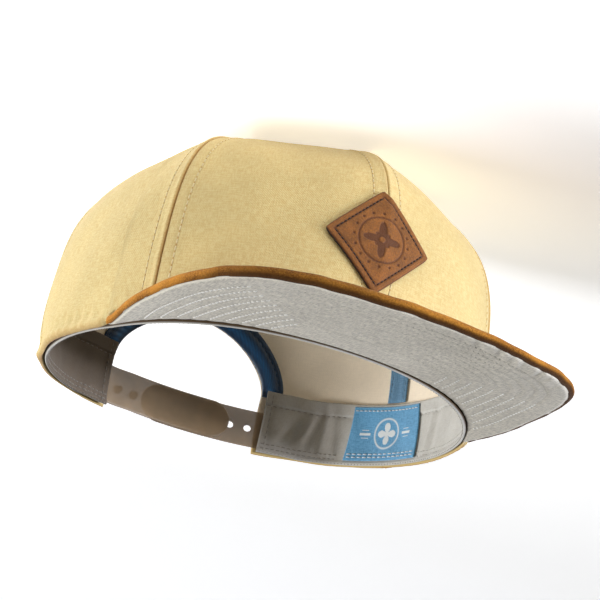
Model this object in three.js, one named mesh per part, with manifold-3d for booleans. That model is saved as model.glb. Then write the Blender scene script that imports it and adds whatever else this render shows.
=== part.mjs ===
// A six-panel snapback cap with a flat bill, lying upside down on its crown.
// Millimetres. The cap is worked out as it is worn, with its rim near z = 0,
// the crown upwards, the bill towards -Y and the wearer's left towards +X.
// The last section turns it over on to the flattened top of its crown.
import * as THREE from 'three';
import Module from 'manifold-3d';
import { mergeVertices } from 'three/addons/utils/BufferGeometryUtils.js';

// Rim: a rounded oval, seen from above
const RIM_HALF_WIDTH = 90.4;
const RIM_HALF_LENGTH = 98.9;
const RIM_EGG = -0.046; // wider towards the back
const RIM_SQUARE = 0.107; // fuller between front and side
const RIM_FRONT_Z = -3.5;
const RIM_BACK_RISE = 0.05; // slope of the rim behind the bill
const RIM_RISE_FROM_Y = -40;

// Crown
const CROWN_HEIGHT = 103.8;
const TOP_Y = 15.3; // the button stands a little behind the middle
const CLOTH = 1.2;
const GAP = 0.3;
const LAYER_GAP = 0.6; // between soft layers, with room for their facets
const DOME_ROOT = 0.445;
const PANEL_PULL_POWER = 2.34; // a panel is drawn flat between its seams towards the top
const BULGE_SCALE = 27 / 4; // brings the bulge's curve to one where it is fullest

// The seams' own profiles: the angle from the centre front, the power of the
// dome curve, and how far the wall bulges past the rim
const SEAMS = [
  { angle: 0, power: 6.3, bulge: 0.046 },
  { angle: 55.5, power: 4.85, bulge: 0.013 },
  { angle: 112.5, power: 4.78, bulge: 0.039 },
  { angle: 180, power: 2.1, bulge: 0.04 },
];
const BACK_ANGLE = 180;

// Where the crown rests: a plane tilted towards the bill, with the cloth pressed flat
const REST_TILT = 10; // degrees
const REST_DEPTH = 103.8; // distance of the plane from the worn origin
const REST_BLEND = 0.3;

// Button, with its stem through the panels
const BUTTON_RADIUS = 7;
const BUTTON_FACE_RADIUS = 5;
const BUTTON_HEIGHT = 2.5;
const PANEL_HOLE_RADIUS = 3.4;
const STEM_RADIUS = 2;
const BACK_DISC_RADIUS = 5.5;
const BACK_DISC_THICKNESS = 1;
const BUTTON_EDGE = 0.4; // how far the button's rolled edge turns in underneath
const BUTTON_SIDES = 16;

// Bill
const PEAK_THICKNESS = 3.8;
const UNDERBILL_THICKNESS = 0.8;
const UNDERBILL_INSET = 2.2;
const PEAK_HALF_ANGLE = 68; // where the bill's corners meet the rim
const PEAK_SLOPE = 0.094;
const PEAK_ROLL = 1.5; // how far the wings turn down
const PEAK_WING = 90;
const PEAK_CORNER_REACH = 1.2;
const PEAK_INSIDE = 0.1; // how far the bill reaches in past the rim line
const PEAK_OUTLINE = [
  { x: 84, y: -83.3 },
  { x: 65.2, y: -145.3 },
  { x: 0, y: -164.8 },
];

// Columns of the bill's cross-section: the share of its depth, and the height of
// the upper and lower face as a share of the thickness
const PEAK_SECTION = [
  { depth: 0, upper: 1, lower: 0 },
  { depth: 0.33, upper: 1, lower: 0 },
  { depth: 0.66, upper: 1, lower: 0 },
  { depth: 0.965, upper: 1, lower: 0 },
  { depth: 0.99, upper: 0.86, lower: 0.14 },
  { depth: 1, upper: 0.6, lower: 0.4 },
];

// Sweatband and label
const BAND_HEIGHT = 30.4;
const BAND_THICKNESS = 1.2;
const BAND_LIP = 1.2; // how far it shows below the bill
const BAND_END_ANGLE = 154.5;
const TUCK_ANGLE = 147; // from here the band stands off to take the strap
const TUCK_DEPTH = 2;
const LABEL = { from: 98.5, to: 126, low: 1.5, high: 29, thickness: 0.6 };

// Seam tapes, the arched opening and its binding
const TAPE_HALF_WIDTH = 6;
const TAPE_THICKNESS = 0.7;
const TAPE_TOP_RADIUS = 8;
const ARCH_HALF_WIDTH = 38.3;
const ARCH_BASE = 31;
const ARCH_HEIGHT = 26.5;
const ARCH_POWER = 1.75;
const BINDING_WIDTH = 9.5;
const BINDING_THICKNESS = 0.8;

// Leather patch, a square standing on its corner
const PATCH_HALF_DIAGONAL = 22.5;
const PATCH_CENTRE_Z = 42.5;
const PATCH_THICKNESS = 1.8;

// Closure
const STRAP_WIDTH = 18.4;
const STRAP_THICKNESS = 1.2;
const STRAP_LOW = 4.6;
const STRAP_DEPTH = 1.9; // how far the outer strap lies inside the crown's outer face
const STRAP_STEP = 1.6; // the inner strap lies this much deeper where they overlap
const STRAP_HOLDER_X = 45; // where a strap is sewn in behind the band
const OVERLAP = { from: -19.6, to: 25.3 };
const HOLE_PITCH = 8.3;
const FIRST_HOLE_X = 34.4;
const HOLE_COUNT = 7;
const FIRST_PEG_X = 17.8;
const PEG_COUNT = 7;
const HOLE_RADIUS = 1.8;
const PEG_RADIUS = 1.4;
const PEG_HEAD_RADIUS = 2.1;
const PEG_HEAD_HEIGHT = 0.9;
const ROUND_SIDES = 10;

const COLOURS = {
  cloth: { color: 0xe9d9a8, roughness: 0.9 },
  suede: { color: 0x9a5f27, roughness: 0.95 },
  grey: { color: 0xa9a398, roughness: 0.9 },
  band: { color: 0xb9b6ae, roughness: 0.85 },
  blue: { color: 0x35618a, roughness: 0.7 },
  leather: { color: 0x87562a, roughness: 0.65 },
  strap: { color: 0x6f6357, roughness: 0.45 },
};

const degrees = Math.PI / 180;
const mix = (a, b, t) => a + (b - a) * t;
const clamp01 = (t) => Math.min(1, Math.max(0, t));
const smooth = (a, b, value) => {
  const t = clamp01((value - a) / (b - a));
  return t * t * (3 - 2 * t);
};
const vec = (x, y, z) => new THREE.Vector3(x, y, z);
const steps = (count, make) => Array.from({ length: count + 1 }, (_, i) => make(i / count));

const HALVINGS = 40;

// The value between low and high at which a rising test turns true
function solve(low, high, test) {
  let a = low;
  let b = high;
  for (let i = 0; i < HALVINGS; i += 1) {
    const middle = (a + b) / 2;
    if (test(middle)) b = middle;
    else a = middle;
  }
  return (a + b) / 2;
}

// Rim and bill surfaces

function rimHeight(y) {
  return RIM_FRONT_Z + RIM_BACK_RISE * Math.max(0, y - RIM_RISE_FROM_Y);
}

// A point on the rim, at an angle from the centre front, positive to the wearer's left
function rimPoint(angle) {
  const s = Math.sin(angle * degrees);
  const c = Math.cos(angle * degrees);
  const x = RIM_HALF_WIDTH * s * (1 + RIM_EGG * c);
  const y = -RIM_HALF_LENGTH * c * (1 + RIM_SQUARE * s * s);
  return vec(x, y, rimHeight(y));
}

const RIM_PROBE = 0.5; // degrees

// The level direction from the rim towards the inside of the head hollow
function rimInward(angle) {
  const along = rimPoint(angle + RIM_PROBE).sub(rimPoint(angle - RIM_PROBE));
  return vec(-along.y, along.x, 0).normalize();
}

const insideRim = (angle, depth) => rimPoint(angle).addScaledVector(rimInward(angle), depth);

// The underside of the bill
function billHeight(x, y) {
  const ahead = -RIM_HALF_LENGTH - y;
  const wing = x / PEAK_WING;
  return RIM_FRONT_Z - PEAK_SLOPE * ahead * Math.max(0, 1 - wing * wing) - PEAK_ROLL * wing * wing;
}

const BILL_STACK = UNDERBILL_THICKNESS + PEAK_THICKNESS + 2 * GAP;
const LEDGE_BLEND = 4; // degrees over which the cloth's edge drops from the bill to the rim

// The lower edge of the crown cloth: on the bill's top in front, at the rim behind
function crownEdgeHeight(angle) {
  const rim = rimPoint(angle);
  const onBill = billHeight(rim.x, rim.y) + BILL_STACK;
  const behind = smooth(PEAK_HALF_ANGLE + 1, PEAK_HALF_ANGLE + 1 + LEDGE_BLEND, Math.abs(angle));
  return mix(onBill, rim.z, behind);
}

// Crown surface

const ANGLE_SLACK = 1e-6; // keeps the back seam's own angle in the last panel
const wrapped = (angle) => ((((angle + 180) % 360) + 360) % 360) - 180;

function seamsAround(angle) {
  const turn = Math.min(BACK_ANGLE - ANGLE_SLACK, Math.abs(angle));
  const next = SEAMS.findIndex((seam) => seam.angle > turn);
  return { turn, a: SEAMS[next - 1], b: SEAMS[next] };
}

// The smooth dome under the panels, rise from 0 at the rim to 1 at the button
function domePoint(angle, rise) {
  const { turn, a, b } = seamsAround(angle);
  const t = smooth(a.angle, b.angle, turn);
  const rim = rimPoint(angle);
  const bulge = 1 + BULGE_SCALE * mix(a.bulge, b.bulge, t) * rise * (1 - rise) ** 2;
  const reach = (1 - rise ** mix(a.power, b.power, t)) ** DOME_ROOT * bulge;
  return vec(rim.x * reach, TOP_Y + (rim.y - TOP_Y) * reach, mix(rim.z, CROWN_HEIGHT, rise));
}

const restNormal = vec(0, -Math.sin(REST_TILT * degrees), Math.cos(REST_TILT * degrees));

// Cloth past the resting plane is pressed flat
function pressed(point) {
  const over = restNormal.dot(point) - REST_DEPTH;
  if (over <= -REST_BLEND) return point;
  const kept = over >= REST_BLEND ? 0 : -((REST_BLEND - over) ** 2) / (4 * REST_BLEND);
  return point.addScaledVector(restNormal, kept - over);
}

// The outside of the crown: each panel is drawn flat between its two seams higher up
function crownPoint(angle, rise) {
  const round = wrapped(angle);
  const side = round < 0 ? -1 : 1;
  const { a, b } = seamsAround(round);
  const share = (Math.abs(round) - a.angle) / (b.angle - a.angle);
  const dome = domePoint(round, rise);
  const chord = domePoint(a.angle * side, rise).lerp(domePoint(b.angle * side, rise), share);
  const pull = rise ** PANEL_PULL_POWER;
  return pressed(vec(mix(dome.x, chord.x, pull), mix(dome.y, chord.y, pull), dome.z));
}

const NORMAL_ANGLE_STEP = 0.6;
const NORMAL_RISE_STEP = 0.004;
const TOPMOST_RISE = 0.9995;

function crownNormal(angle, rise) {
  const turn = NORMAL_ANGLE_STEP;
  const high = Math.min(TOPMOST_RISE, rise + NORMAL_RISE_STEP);
  const low = high - 2 * NORMAL_RISE_STEP;
  const along = crownPoint(angle + turn, rise).sub(crownPoint(angle - turn, rise));
  const up = crownPoint(angle, high).sub(crownPoint(angle, Math.max(0, low)));
  return along.cross(up).normalize();
}

const insideCrown = (angle, rise, depth) => crownPoint(angle, rise)
  .addScaledVector(crownNormal(angle, rise), -depth);

// The rise at which the crown stands at a height, and at a distance from its top
const riseAtHeight = (angle, z) => {
  const rim = rimPoint(angle);
  return (z - rim.z) / (CROWN_HEIGHT - rim.z);
};
const fromTop = (point) => Math.hypot(point.x, point.y - TOP_Y);
const HALF_UP = 0.5;

function riseAtRadius(angle, radius) {
  return solve(HALF_UP, 1, (rise) => fromTop(crownPoint(angle, rise)) < radius);
}

// The rise at a share of the way up, with shorter steps towards the top
const TOP_EASE = 1.45;
function riseBetween(low, high, share) {
  const from = Math.asin(Math.max(0, low));
  const to = Math.asin(high);
  return Math.sin(mix(from, to, 1 - (1 - share) ** TOP_EASE));
}

const ACROSS_PROBE = 3; // degrees

// The angle at an arc length across the crown from another angle, at one rise
function angleAcross(angle, offset, rise) {
  const probe = offset < 0 ? -ACROSS_PROBE : ACROSS_PROBE;
  const span = crownPoint(angle + probe, rise).distanceTo(crownPoint(angle, rise));
  return angle + (Math.abs(offset) / span) * probe;
}

// Solids

// A closed solid between two grids of points, joined round their border
function shell(outer, inner) {
  const rows = outer.length;
  const columns = outer[0].length;
  const points = [...outer.flat(), ...inner.flat()];
  const index = [];
  const quad = (a, b, c, d) => index.push(a, b, c, a, c, d);
  const top = (i, j) => i * columns + j;
  const under = (i, j) => rows * columns + i * columns + j;
  for (let i = 0; i + 1 < rows; i += 1) {
    for (let j = 0; j + 1 < columns; j += 1) {
      quad(top(i, j), top(i, j + 1), top(i + 1, j + 1), top(i + 1, j));
      quad(under(i, j), under(i + 1, j), under(i + 1, j + 1), under(i, j + 1));
    }
  }
  const last = { row: rows - 1, column: columns - 1 };
  for (let j = 0; j + 1 < columns; j += 1) {
    quad(top(0, j + 1), top(0, j), under(0, j), under(0, j + 1));
    quad(top(last.row, j), top(last.row, j + 1), under(last.row, j + 1), under(last.row, j));
  }
  for (let i = 0; i + 1 < rows; i += 1) {
    quad(top(i, 0), top(i + 1, 0), under(i + 1, 0), under(i, 0));
    quad(top(i + 1, last.column), top(i, last.column), under(i, last.column), under(i + 1, last.column));
  }
  let volume = 0;
  for (let k = 0; k < index.length; k += 3) {
    const [a, b, c] = [points[index[k]], points[index[k + 1]], points[index[k + 2]]];
    volume += a.dot(b.clone().cross(c));
  }
  if (volume < 0) index.reverse();
  const geometry = new THREE.BufferGeometry().setFromPoints(points);
  geometry.setIndex(index);
  return geometry;
}

const wasm = await Module();
wasm.setup();
const MERGE_WITHIN = 1e-4;

function toSolid(geometry) {
  const bare = geometry.clone();
  bare.deleteAttribute('normal');
  bare.deleteAttribute('uv');
  const merged = mergeVertices(bare, MERGE_WITHIN);
  return new wasm.Manifold(new wasm.Mesh({
    numProp: 3,
    vertProperties: new Float32Array(merged.attributes.position.array),
    triVerts: new Uint32Array(merged.index.array),
  }));
}

function toGeometry(solid) {
  const mesh = solid.getMesh();
  const geometry = new THREE.BufferGeometry();
  geometry.setAttribute('position', new THREE.Float32BufferAttribute(mesh.vertProperties, 3));
  geometry.setIndex(Array.from(mesh.triVerts));
  return geometry;
}

// A turned solid, its axis laid along a direction from a point
function turned(profile, sides, foot, direction) {
  const geometry = new THREE.LatheGeometry(profile.map((p) => new THREE.Vector2(p.r, p.h)), sides);
  const turn = new THREE.Quaternion().setFromUnitVectors(vec(0, 1, 0), direction);
  geometry.applyQuaternion(turn);
  geometry.translate(foot.x, foot.y, foot.z);
  return geometry;
}

// Crown panels

const PANEL_COLUMNS = 9;
const PANEL_ROWS = 17;

// Moves a point to its panel's side of the upright plane through a seam
function besideSeam(point, seamAngle, inward) {
  const rim = rimPoint(seamAngle);
  const across = vec(rim.x, rim.y - TOP_Y, 0).normalize();
  const away = vec(-across.y * inward, across.x * inward, 0);
  const distance = point.x * away.x + (point.y - TOP_Y) * away.y;
  return distance < GAP / 2 ? point.addScaledVector(away, GAP / 2 - distance) : point;
}

function crownPanel(from, to, side) {
  const a = SEAMS[from].angle * side;
  const b = SEAMS[to].angle * side;
  const grid = (depth) => steps(PANEL_ROWS, (v) => steps(PANEL_COLUMNS, (u) => {
    const angle = mix(a, b, u);
    const low = riseAtHeight(angle, crownEdgeHeight(angle));
    const rise = riseBetween(low, riseAtRadius(angle, PANEL_HOLE_RADIUS), v);
    const point = besideSeam(insideCrown(angle, rise, depth), a, side);
    return besideSeam(point, b, -side);
  }));
  return shell(grid(0), grid(CLOTH));
}

// Arched opening at the back

function archPoint(share) {
  const turn = share * Math.PI;
  const power = 2 / ARCH_POWER;
  const c = -Math.cos(turn);
  const x = Math.sign(c) * ARCH_HALF_WIDTH * Math.abs(c) ** power;
  return new THREE.Vector2(x, ARCH_BASE + ARCH_HEIGHT * Math.sin(turn) ** power);
}

const ARCH_STEPS = 20;
const CUT_FROM_Y = 40;
const CUT_TO_Y = 160;
const CUT_FLOOR = -40;

function archCutter() {
  const outline = [
    new THREE.Vector2(-ARCH_HALF_WIDTH, CUT_FLOOR),
    ...steps(ARCH_STEPS, archPoint),
    new THREE.Vector2(ARCH_HALF_WIDTH, CUT_FLOOR),
  ];
  const depth = CUT_TO_Y - CUT_FROM_Y;
  const geometry = new THREE.ExtrudeGeometry(new THREE.Shape(outline), { depth, bevelEnabled: false });
  geometry.rotateX(Math.PI / 2);
  geometry.translate(0, CUT_TO_Y, 0);
  return toSolid(geometry);
}

const SIDE_ANGLE = 90;
const NEAR_BACK_ANGLE = 179.5;
const CENTRE_WIDTH = 0.5; // nearer the middle than this, a place is on the back seam

// The angle at which the back of the crown passes a place across and a height
function backAngle(x, z) {
  const side = x < 0 ? -1 : 1;
  const passed = (angle) => crownPoint(angle, riseAtHeight(angle, z)).x < Math.abs(x);
  return side * solve(SIDE_ANGLE, NEAR_BACK_ANGLE, passed);
}

function backPoint(x, z, depth) {
  const angle = Math.abs(x) < CENTRE_WIDTH ? BACK_ANGLE : backAngle(x, z);
  return insideCrown(angle, riseAtHeight(angle, z), depth);
}

const BINDING_STEPS = 28;
const BINDING_LOW = 34.5; // just above the sweatband
const BINDING_REVEAL = 0.4; // how far it is set back from the arch's edge
const EDGE_PROBE = 0.01;

function archBinding() {
  const start = solve(0, HALF_UP, (share) => archPoint(share).y > BINDING_LOW);
  const grid = (depth) => steps(2, (v) => steps(BINDING_STEPS, (u) => {
    const share = mix(start, 1 - start, u);
    const edge = archPoint(share);
    const along = archPoint(Math.min(1, share + EDGE_PROBE)).sub(archPoint(Math.max(0, share - EDGE_PROBE)));
    const away = new THREE.Vector2(-along.y, along.x).normalize();
    const place = edge.addScaledVector(away, BINDING_REVEAL + v * BINDING_WIDTH);
    return backPoint(place.x, Math.max(BINDING_LOW, place.y), depth);
  }));
  const depth = CLOTH + LAYER_GAP;
  return shell(grid(depth), grid(depth + BINDING_THICKNESS));
}

// Seam tapes, each centred on its seam and narrowed towards the button

const TAPE_ROWS = 16;
const TAPE_COLUMNS = 2;
const TAPE_NARROWING = 0.33;

function seamTape(seamAngle, lowZ) {
  const grid = (depth) => steps(TAPE_ROWS, (v) => steps(TAPE_COLUMNS, (u) => {
    const low = riseAtHeight(seamAngle, lowZ);
    const rise = riseBetween(low, riseAtRadius(seamAngle, TAPE_TOP_RADIUS), v);
    const half = Math.min(TAPE_HALF_WIDTH, fromTop(crownPoint(seamAngle, rise)) * TAPE_NARROWING);
    const angle = u === 0.5 ? seamAngle : angleAcross(seamAngle, mix(-half, half, u), rise);
    return insideCrown(angle, rise, depth);
  }));
  const depth = CLOTH + LAYER_GAP;
  return shell(grid(depth), grid(depth + TAPE_THICKNESS));
}

const aboveBand = (angle) => rimPoint(angle).z + BAND_HEIGHT + 2 * LAYER_GAP;

// Sweatband, label and straps follow the inside of the crown's wall

function wallPoint(angle, z, depth) {
  const rim = rimPoint(angle);
  const wall = crownPoint(angle, Math.max(0, riseAtHeight(angle, z)));
  const point = wall.addScaledVector(rimInward(angle), depth);
  return vec(point.x, point.y, Math.max(z, rim.z - BAND_LIP));
}

const BAND_COLUMNS = 56;
const BAND_ROWS = [-BAND_LIP, 3, 13, 22, BAND_HEIGHT];
const TUCK_BLEND = 7;
const standOff = (angle) => TUCK_DEPTH * smooth(TUCK_ANGLE - TUCK_BLEND, TUCK_ANGLE, Math.abs(angle));

function bandLayer(from, to, heights, depth, thickness, columns) {
  const grid = (at) => heights.map((height) => steps(columns, (t) => {
    const angle = mix(from, to, t);
    return wallPoint(angle, rimPoint(angle).z + height, at + standOff(angle));
  }));
  return shell(grid(depth), grid(depth + thickness));
}

const bandDepth = CLOTH + LAYER_GAP;
const labelDepth = bandDepth + BAND_THICKNESS + LAYER_GAP;
const LABEL_COLUMNS = 6;

// Bill: the rim line inside, the outline outside

const PEAK_COLUMNS = 40;
const LEAST_DEPTH_SHARE = 0.35; // what an inset leaves of the bill's depth at its corners

const peakCurve = (() => {
  const left = [insideRim(PEAK_HALF_ANGLE, -PEAK_CORNER_REACH), ...PEAK_OUTLINE].map((p) => vec(p.x, p.y, 0));
  const right = left.slice(0, -1).map((p) => vec(-p.x, p.y, 0));
  return new THREE.CatmullRomCurve3([...right, ...left.reverse()], false, 'centripetal');
})();

function billLayer(low, thickness, edgeInset) {
  const grid = (face) => PEAK_SECTION.map((row) => steps(PEAK_COLUMNS, (t) => {
    const inner = insideRim(mix(-PEAK_HALF_ANGLE, PEAK_HALF_ANGLE, t), PEAK_INSIDE).setZ(0);
    const outer = peakCurve.getPointAt(t);
    const kept = Math.max(LEAST_DEPTH_SHARE, 1 - edgeInset / inner.distanceTo(outer));
    const point = inner.lerp(outer, row.depth * kept);
    return point.setZ(billHeight(point.x, point.y) + low + thickness * row[face]);
  }));
  return shell(grid('upper'), grid('lower'));
}

// Leather patch, laid on the front of the crown across the centre-front seam

const PATCH_CELLS = 8;
const PATCH_RISES = { least: 0.01, most: 0.95 };
const LENGTH_PARTS = 24;

function leatherPatch() {
  const centreRise = riseAtHeight(0, PATCH_CENTRE_Z);
  const lengthUpTo = (rise) => {
    let length = 0;
    for (let i = 0; i < LENGTH_PARTS; i += 1) {
      const a = crownPoint(0, mix(centreRise, rise, i / LENGTH_PARTS));
      length += a.distanceTo(crownPoint(0, mix(centreRise, rise, (i + 1) / LENGTH_PARTS)));
    }
    return Math.sign(rise - centreRise) * length;
  };
  const grid = (lift) => steps(PATCH_CELLS, (v) => steps(PATCH_CELLS, (u) => {
    const up = (u + v - 1) * PATCH_HALF_DIAGONAL;
    const across = (u - v) * PATCH_HALF_DIAGONAL;
    const rise = solve(PATCH_RISES.least, PATCH_RISES.most, (value) => lengthUpTo(value) > up);
    return insideCrown(angleAcross(0, across, rise), rise, -lift);
  }));
  return shell(grid(LAYER_GAP + PATCH_THICKNESS), grid(LAYER_GAP));
}

// Closure

const STRAP_ROWS = [-1, -0.5, 0, 0.5, 1];
const STRAP_STEPS = 22;
const STRAP_END_EASE = 1.5; // shorter steps towards the rounded end
const STRAP_END_SHARE = 0.12; // of its half width, which the rounded end keeps at its tip
const STEP_X = { from: -37, to: -26 }; // where the inner strap steps inwards
const strapMiddle = STRAP_LOW + STRAP_WIDTH / 2;

function strapPoint(x, z, depth) {
  const turn = solve(SIDE_ANGLE, BACK_ANGLE, (angle) => rimPoint(angle).x < Math.abs(x));
  return wallPoint(x < 0 ? -turn : turn, z, depth);
}

const innerStep = (x) => STRAP_STEP * smooth(STEP_X.from, STEP_X.to, x);

// A strap from its holder to its rounded end
function strapBody(holderX, endX, extraDepth) {
  const radius = STRAP_WIDTH / 2;
  const grid = (depth) => STRAP_ROWS.map((row) => steps(STRAP_STEPS, (t) => {
    const x = mix(holderX, endX, 1 - (1 - t) ** STRAP_END_EASE);
    const fromEnd = Math.abs(endX - x);
    const round = fromEnd < radius ? Math.sqrt(1 - (1 - fromEnd / radius) ** 2) : 1;
    const half = radius * Math.max(STRAP_END_SHARE, round);
    return strapPoint(x, strapMiddle + row * half, depth + extraDepth(x));
  }));
  return shell(grid(STRAP_DEPTH), grid(STRAP_DEPTH + STRAP_THICKNESS));
}

// The outward direction and the outer face of a strap at a place along it
function strapFace(x, depth) {
  const face = strapPoint(x, strapMiddle, depth);
  const along = strapPoint(x + 1, strapMiddle, depth).sub(strapPoint(x - 1, strapMiddle, depth));
  const up = strapPoint(x, strapMiddle + 1, depth).sub(strapPoint(x, strapMiddle - 1, depth));
  return { face, outward: up.cross(along).normalize() };
}

const HOLE_CUT = 4; // how far a hole's cutter reaches each way from the strap's face
const PEG_ROOT = 0.6; // how far a peg reaches into its strap
const PEG_TIP_SHARE = 0.7; // of the head's radius

function strapWithHoles() {
  let solid = toSolid(strapBody(STRAP_HOLDER_X, OVERLAP.from, () => 0));
  const profile = [
    { r: 0, h: -HOLE_CUT },
    { r: HOLE_RADIUS, h: -HOLE_CUT },
    { r: HOLE_RADIUS, h: HOLE_CUT },
    { r: 0, h: HOLE_CUT },
  ];
  for (let i = 0; i < HOLE_COUNT; i += 1) {
    const { face, outward } = strapFace(FIRST_HOLE_X - i * HOLE_PITCH, STRAP_DEPTH);
    solid = solid.subtract(toSolid(turned(profile, ROUND_SIDES, face, outward)));
  }
  return toGeometry(solid);
}

function strapWithPegs() {
  let solid = toSolid(strapBody(-STRAP_HOLDER_X, OVERLAP.to, innerStep));
  const stem = STRAP_STEP + GAP;
  const profile = [
    { r: 0, h: -PEG_ROOT },
    { r: PEG_RADIUS, h: -PEG_ROOT },
    { r: PEG_RADIUS, h: stem },
    { r: PEG_HEAD_RADIUS, h: stem },
    { r: PEG_HEAD_RADIUS * PEG_TIP_SHARE, h: stem + PEG_HEAD_HEIGHT },
    { r: 0, h: stem + PEG_HEAD_HEIGHT },
  ];
  for (let i = 0; i < PEG_COUNT; i += 1) {
    const x = FIRST_PEG_X - i * HOLE_PITCH;
    const { face, outward } = strapFace(x, STRAP_DEPTH + innerStep(x));
    solid = solid.add(toSolid(turned(profile, ROUND_SIDES, face, outward)));
  }
  return toGeometry(solid);
}

const BUTTON_SHOULDERS = { wide: 0.3, face: 0.85 }; // shares of the button's height

// Button: a covered cap over the panels, its stem, and a disc inside
function crownButton() {
  const top = GAP + BUTTON_HEIGHT;
  const disc = CLOTH + LAYER_GAP;
  return turned([
    { r: 0, h: -disc - BACK_DISC_THICKNESS },
    { r: BACK_DISC_RADIUS, h: -disc - BACK_DISC_THICKNESS },
    { r: BACK_DISC_RADIUS, h: -disc },
    { r: STEM_RADIUS, h: -disc },
    { r: STEM_RADIUS, h: GAP },
    { r: BUTTON_RADIUS - BUTTON_EDGE, h: GAP },
    { r: BUTTON_RADIUS, h: mix(GAP, top, BUTTON_SHOULDERS.wide) },
    { r: BUTTON_FACE_RADIUS, h: mix(GAP, top, BUTTON_SHOULDERS.face) },
    { r: 0, h: top },
  ], BUTTON_SIDES, vec(0, TOP_Y, CROWN_HEIGHT), vec(0, 0, 1));
}

// The cap, worn way up, then turned over on to its crown

const cap = new THREE.Group();
const group = new THREE.Group();
group.add(cap);

function piece(name, geometry, finish) {
  const mesh = new THREE.Mesh(geometry, new THREE.MeshStandardMaterial({ ...finish, metalness: 0 }));
  mesh.name = name;
  cap.add(mesh);
}

const archSolid = archCutter();
for (const [word, side] of [['left', 1], ['right', -1]]) {
  piece(`front_panel_${word}`, crownPanel(0, 1, side), COLOURS.cloth);
  piece(`side_panel_${word}`, crownPanel(1, 2, side), COLOURS.cloth);
  piece(`back_panel_${word}`, toGeometry(toSolid(crownPanel(2, 3, side)).subtract(archSolid)), COLOURS.cloth);
  for (const [place, seam] of [['front', 1], ['back', 2]]) {
    const angle = SEAMS[seam].angle * side;
    piece(`seam_tape_${place}_${word}`, seamTape(angle, aboveBand(angle)), COLOURS.blue);
  }
}
piece('seam_tape_front', seamTape(0, aboveBand(0)), COLOURS.blue);
const aboveArch = ARCH_BASE + ARCH_HEIGHT + BINDING_WIDTH + 3 * LAYER_GAP;
piece('seam_tape_back', seamTape(BACK_ANGLE, aboveArch), COLOURS.blue);
piece('arch_binding', archBinding(), COLOURS.blue);
piece('crown_button', crownButton(), COLOURS.cloth);

piece('underbill', billLayer(0, UNDERBILL_THICKNESS, UNDERBILL_INSET), COLOURS.grey);
piece('peak', billLayer(UNDERBILL_THICKNESS + GAP, PEAK_THICKNESS, 0), COLOURS.suede);

const bandEnds = [-BAND_END_ANGLE, BAND_END_ANGLE];
piece('sweatband', bandLayer(...bandEnds, BAND_ROWS, bandDepth, BAND_THICKNESS, BAND_COLUMNS), COLOURS.band);
const labelRows = [LABEL.low, mix(LABEL.low, LABEL.high, 0.5), LABEL.high];
const label = bandLayer(LABEL.from, LABEL.to, labelRows, labelDepth, LABEL.thickness, LABEL_COLUMNS);
piece('woven_label', label, COLOURS.blue);
piece('leather_patch', leatherPatch(), COLOURS.leather);
piece('strap_with_holes', strapWithHoles(), COLOURS.strap);
piece('strap_with_pegs', strapWithPegs(), COLOURS.strap);

cap.rotation.set(REST_TILT * degrees, Math.PI, 0, 'XYZ');
cap.position.z = REST_DEPTH;
group.updateMatrixWorld(true);
const centre = new THREE.Box3().setFromObject(group, true).getCenter(vec(0, 0, 0));
cap.position.x = -centre.x;
cap.position.y = -centre.y;

export default group;
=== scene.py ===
"""Dresses a snapback cap that lies upside down on its crown, over its construction frame, and lights it.

Shapes are worked out in millimetres on the cap as it is worn, with its rim near z = 0, the crown
upwards, the bill towards -Y and the wearer's left towards +X. place() then turns them over.
"""

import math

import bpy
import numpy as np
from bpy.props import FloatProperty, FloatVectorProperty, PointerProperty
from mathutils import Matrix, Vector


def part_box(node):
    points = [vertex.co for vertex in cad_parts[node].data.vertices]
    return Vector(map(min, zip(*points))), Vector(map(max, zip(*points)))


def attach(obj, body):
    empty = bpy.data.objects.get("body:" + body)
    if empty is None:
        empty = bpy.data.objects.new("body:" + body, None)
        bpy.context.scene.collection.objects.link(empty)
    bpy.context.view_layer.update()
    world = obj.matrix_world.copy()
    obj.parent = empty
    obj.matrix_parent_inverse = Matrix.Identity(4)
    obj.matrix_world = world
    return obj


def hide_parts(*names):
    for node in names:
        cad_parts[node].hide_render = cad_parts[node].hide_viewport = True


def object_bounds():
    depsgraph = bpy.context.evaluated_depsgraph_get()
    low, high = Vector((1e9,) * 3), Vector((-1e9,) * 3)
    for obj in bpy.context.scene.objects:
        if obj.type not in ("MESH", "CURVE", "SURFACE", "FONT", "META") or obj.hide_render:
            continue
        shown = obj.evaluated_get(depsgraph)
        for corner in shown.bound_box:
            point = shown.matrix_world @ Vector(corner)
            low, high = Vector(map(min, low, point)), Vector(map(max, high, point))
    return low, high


bl_info = {
    "name": "Snapback Cap Dresser",
    "version": (1, 0, 0),
    "blender": (4, 5, 0),
    "location": "3D View > Sidebar > Cap",
    "description": "Dresses a snapback cap with cloth, suede, leather and stitches, and lights it",
    "category": "Object",
}

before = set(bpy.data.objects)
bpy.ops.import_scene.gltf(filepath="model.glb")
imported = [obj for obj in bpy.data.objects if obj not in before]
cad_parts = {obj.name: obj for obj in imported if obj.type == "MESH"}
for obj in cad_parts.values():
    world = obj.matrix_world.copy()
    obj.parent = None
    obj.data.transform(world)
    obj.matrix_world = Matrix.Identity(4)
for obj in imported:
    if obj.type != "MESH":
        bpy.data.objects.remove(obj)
CAD_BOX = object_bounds()

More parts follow.
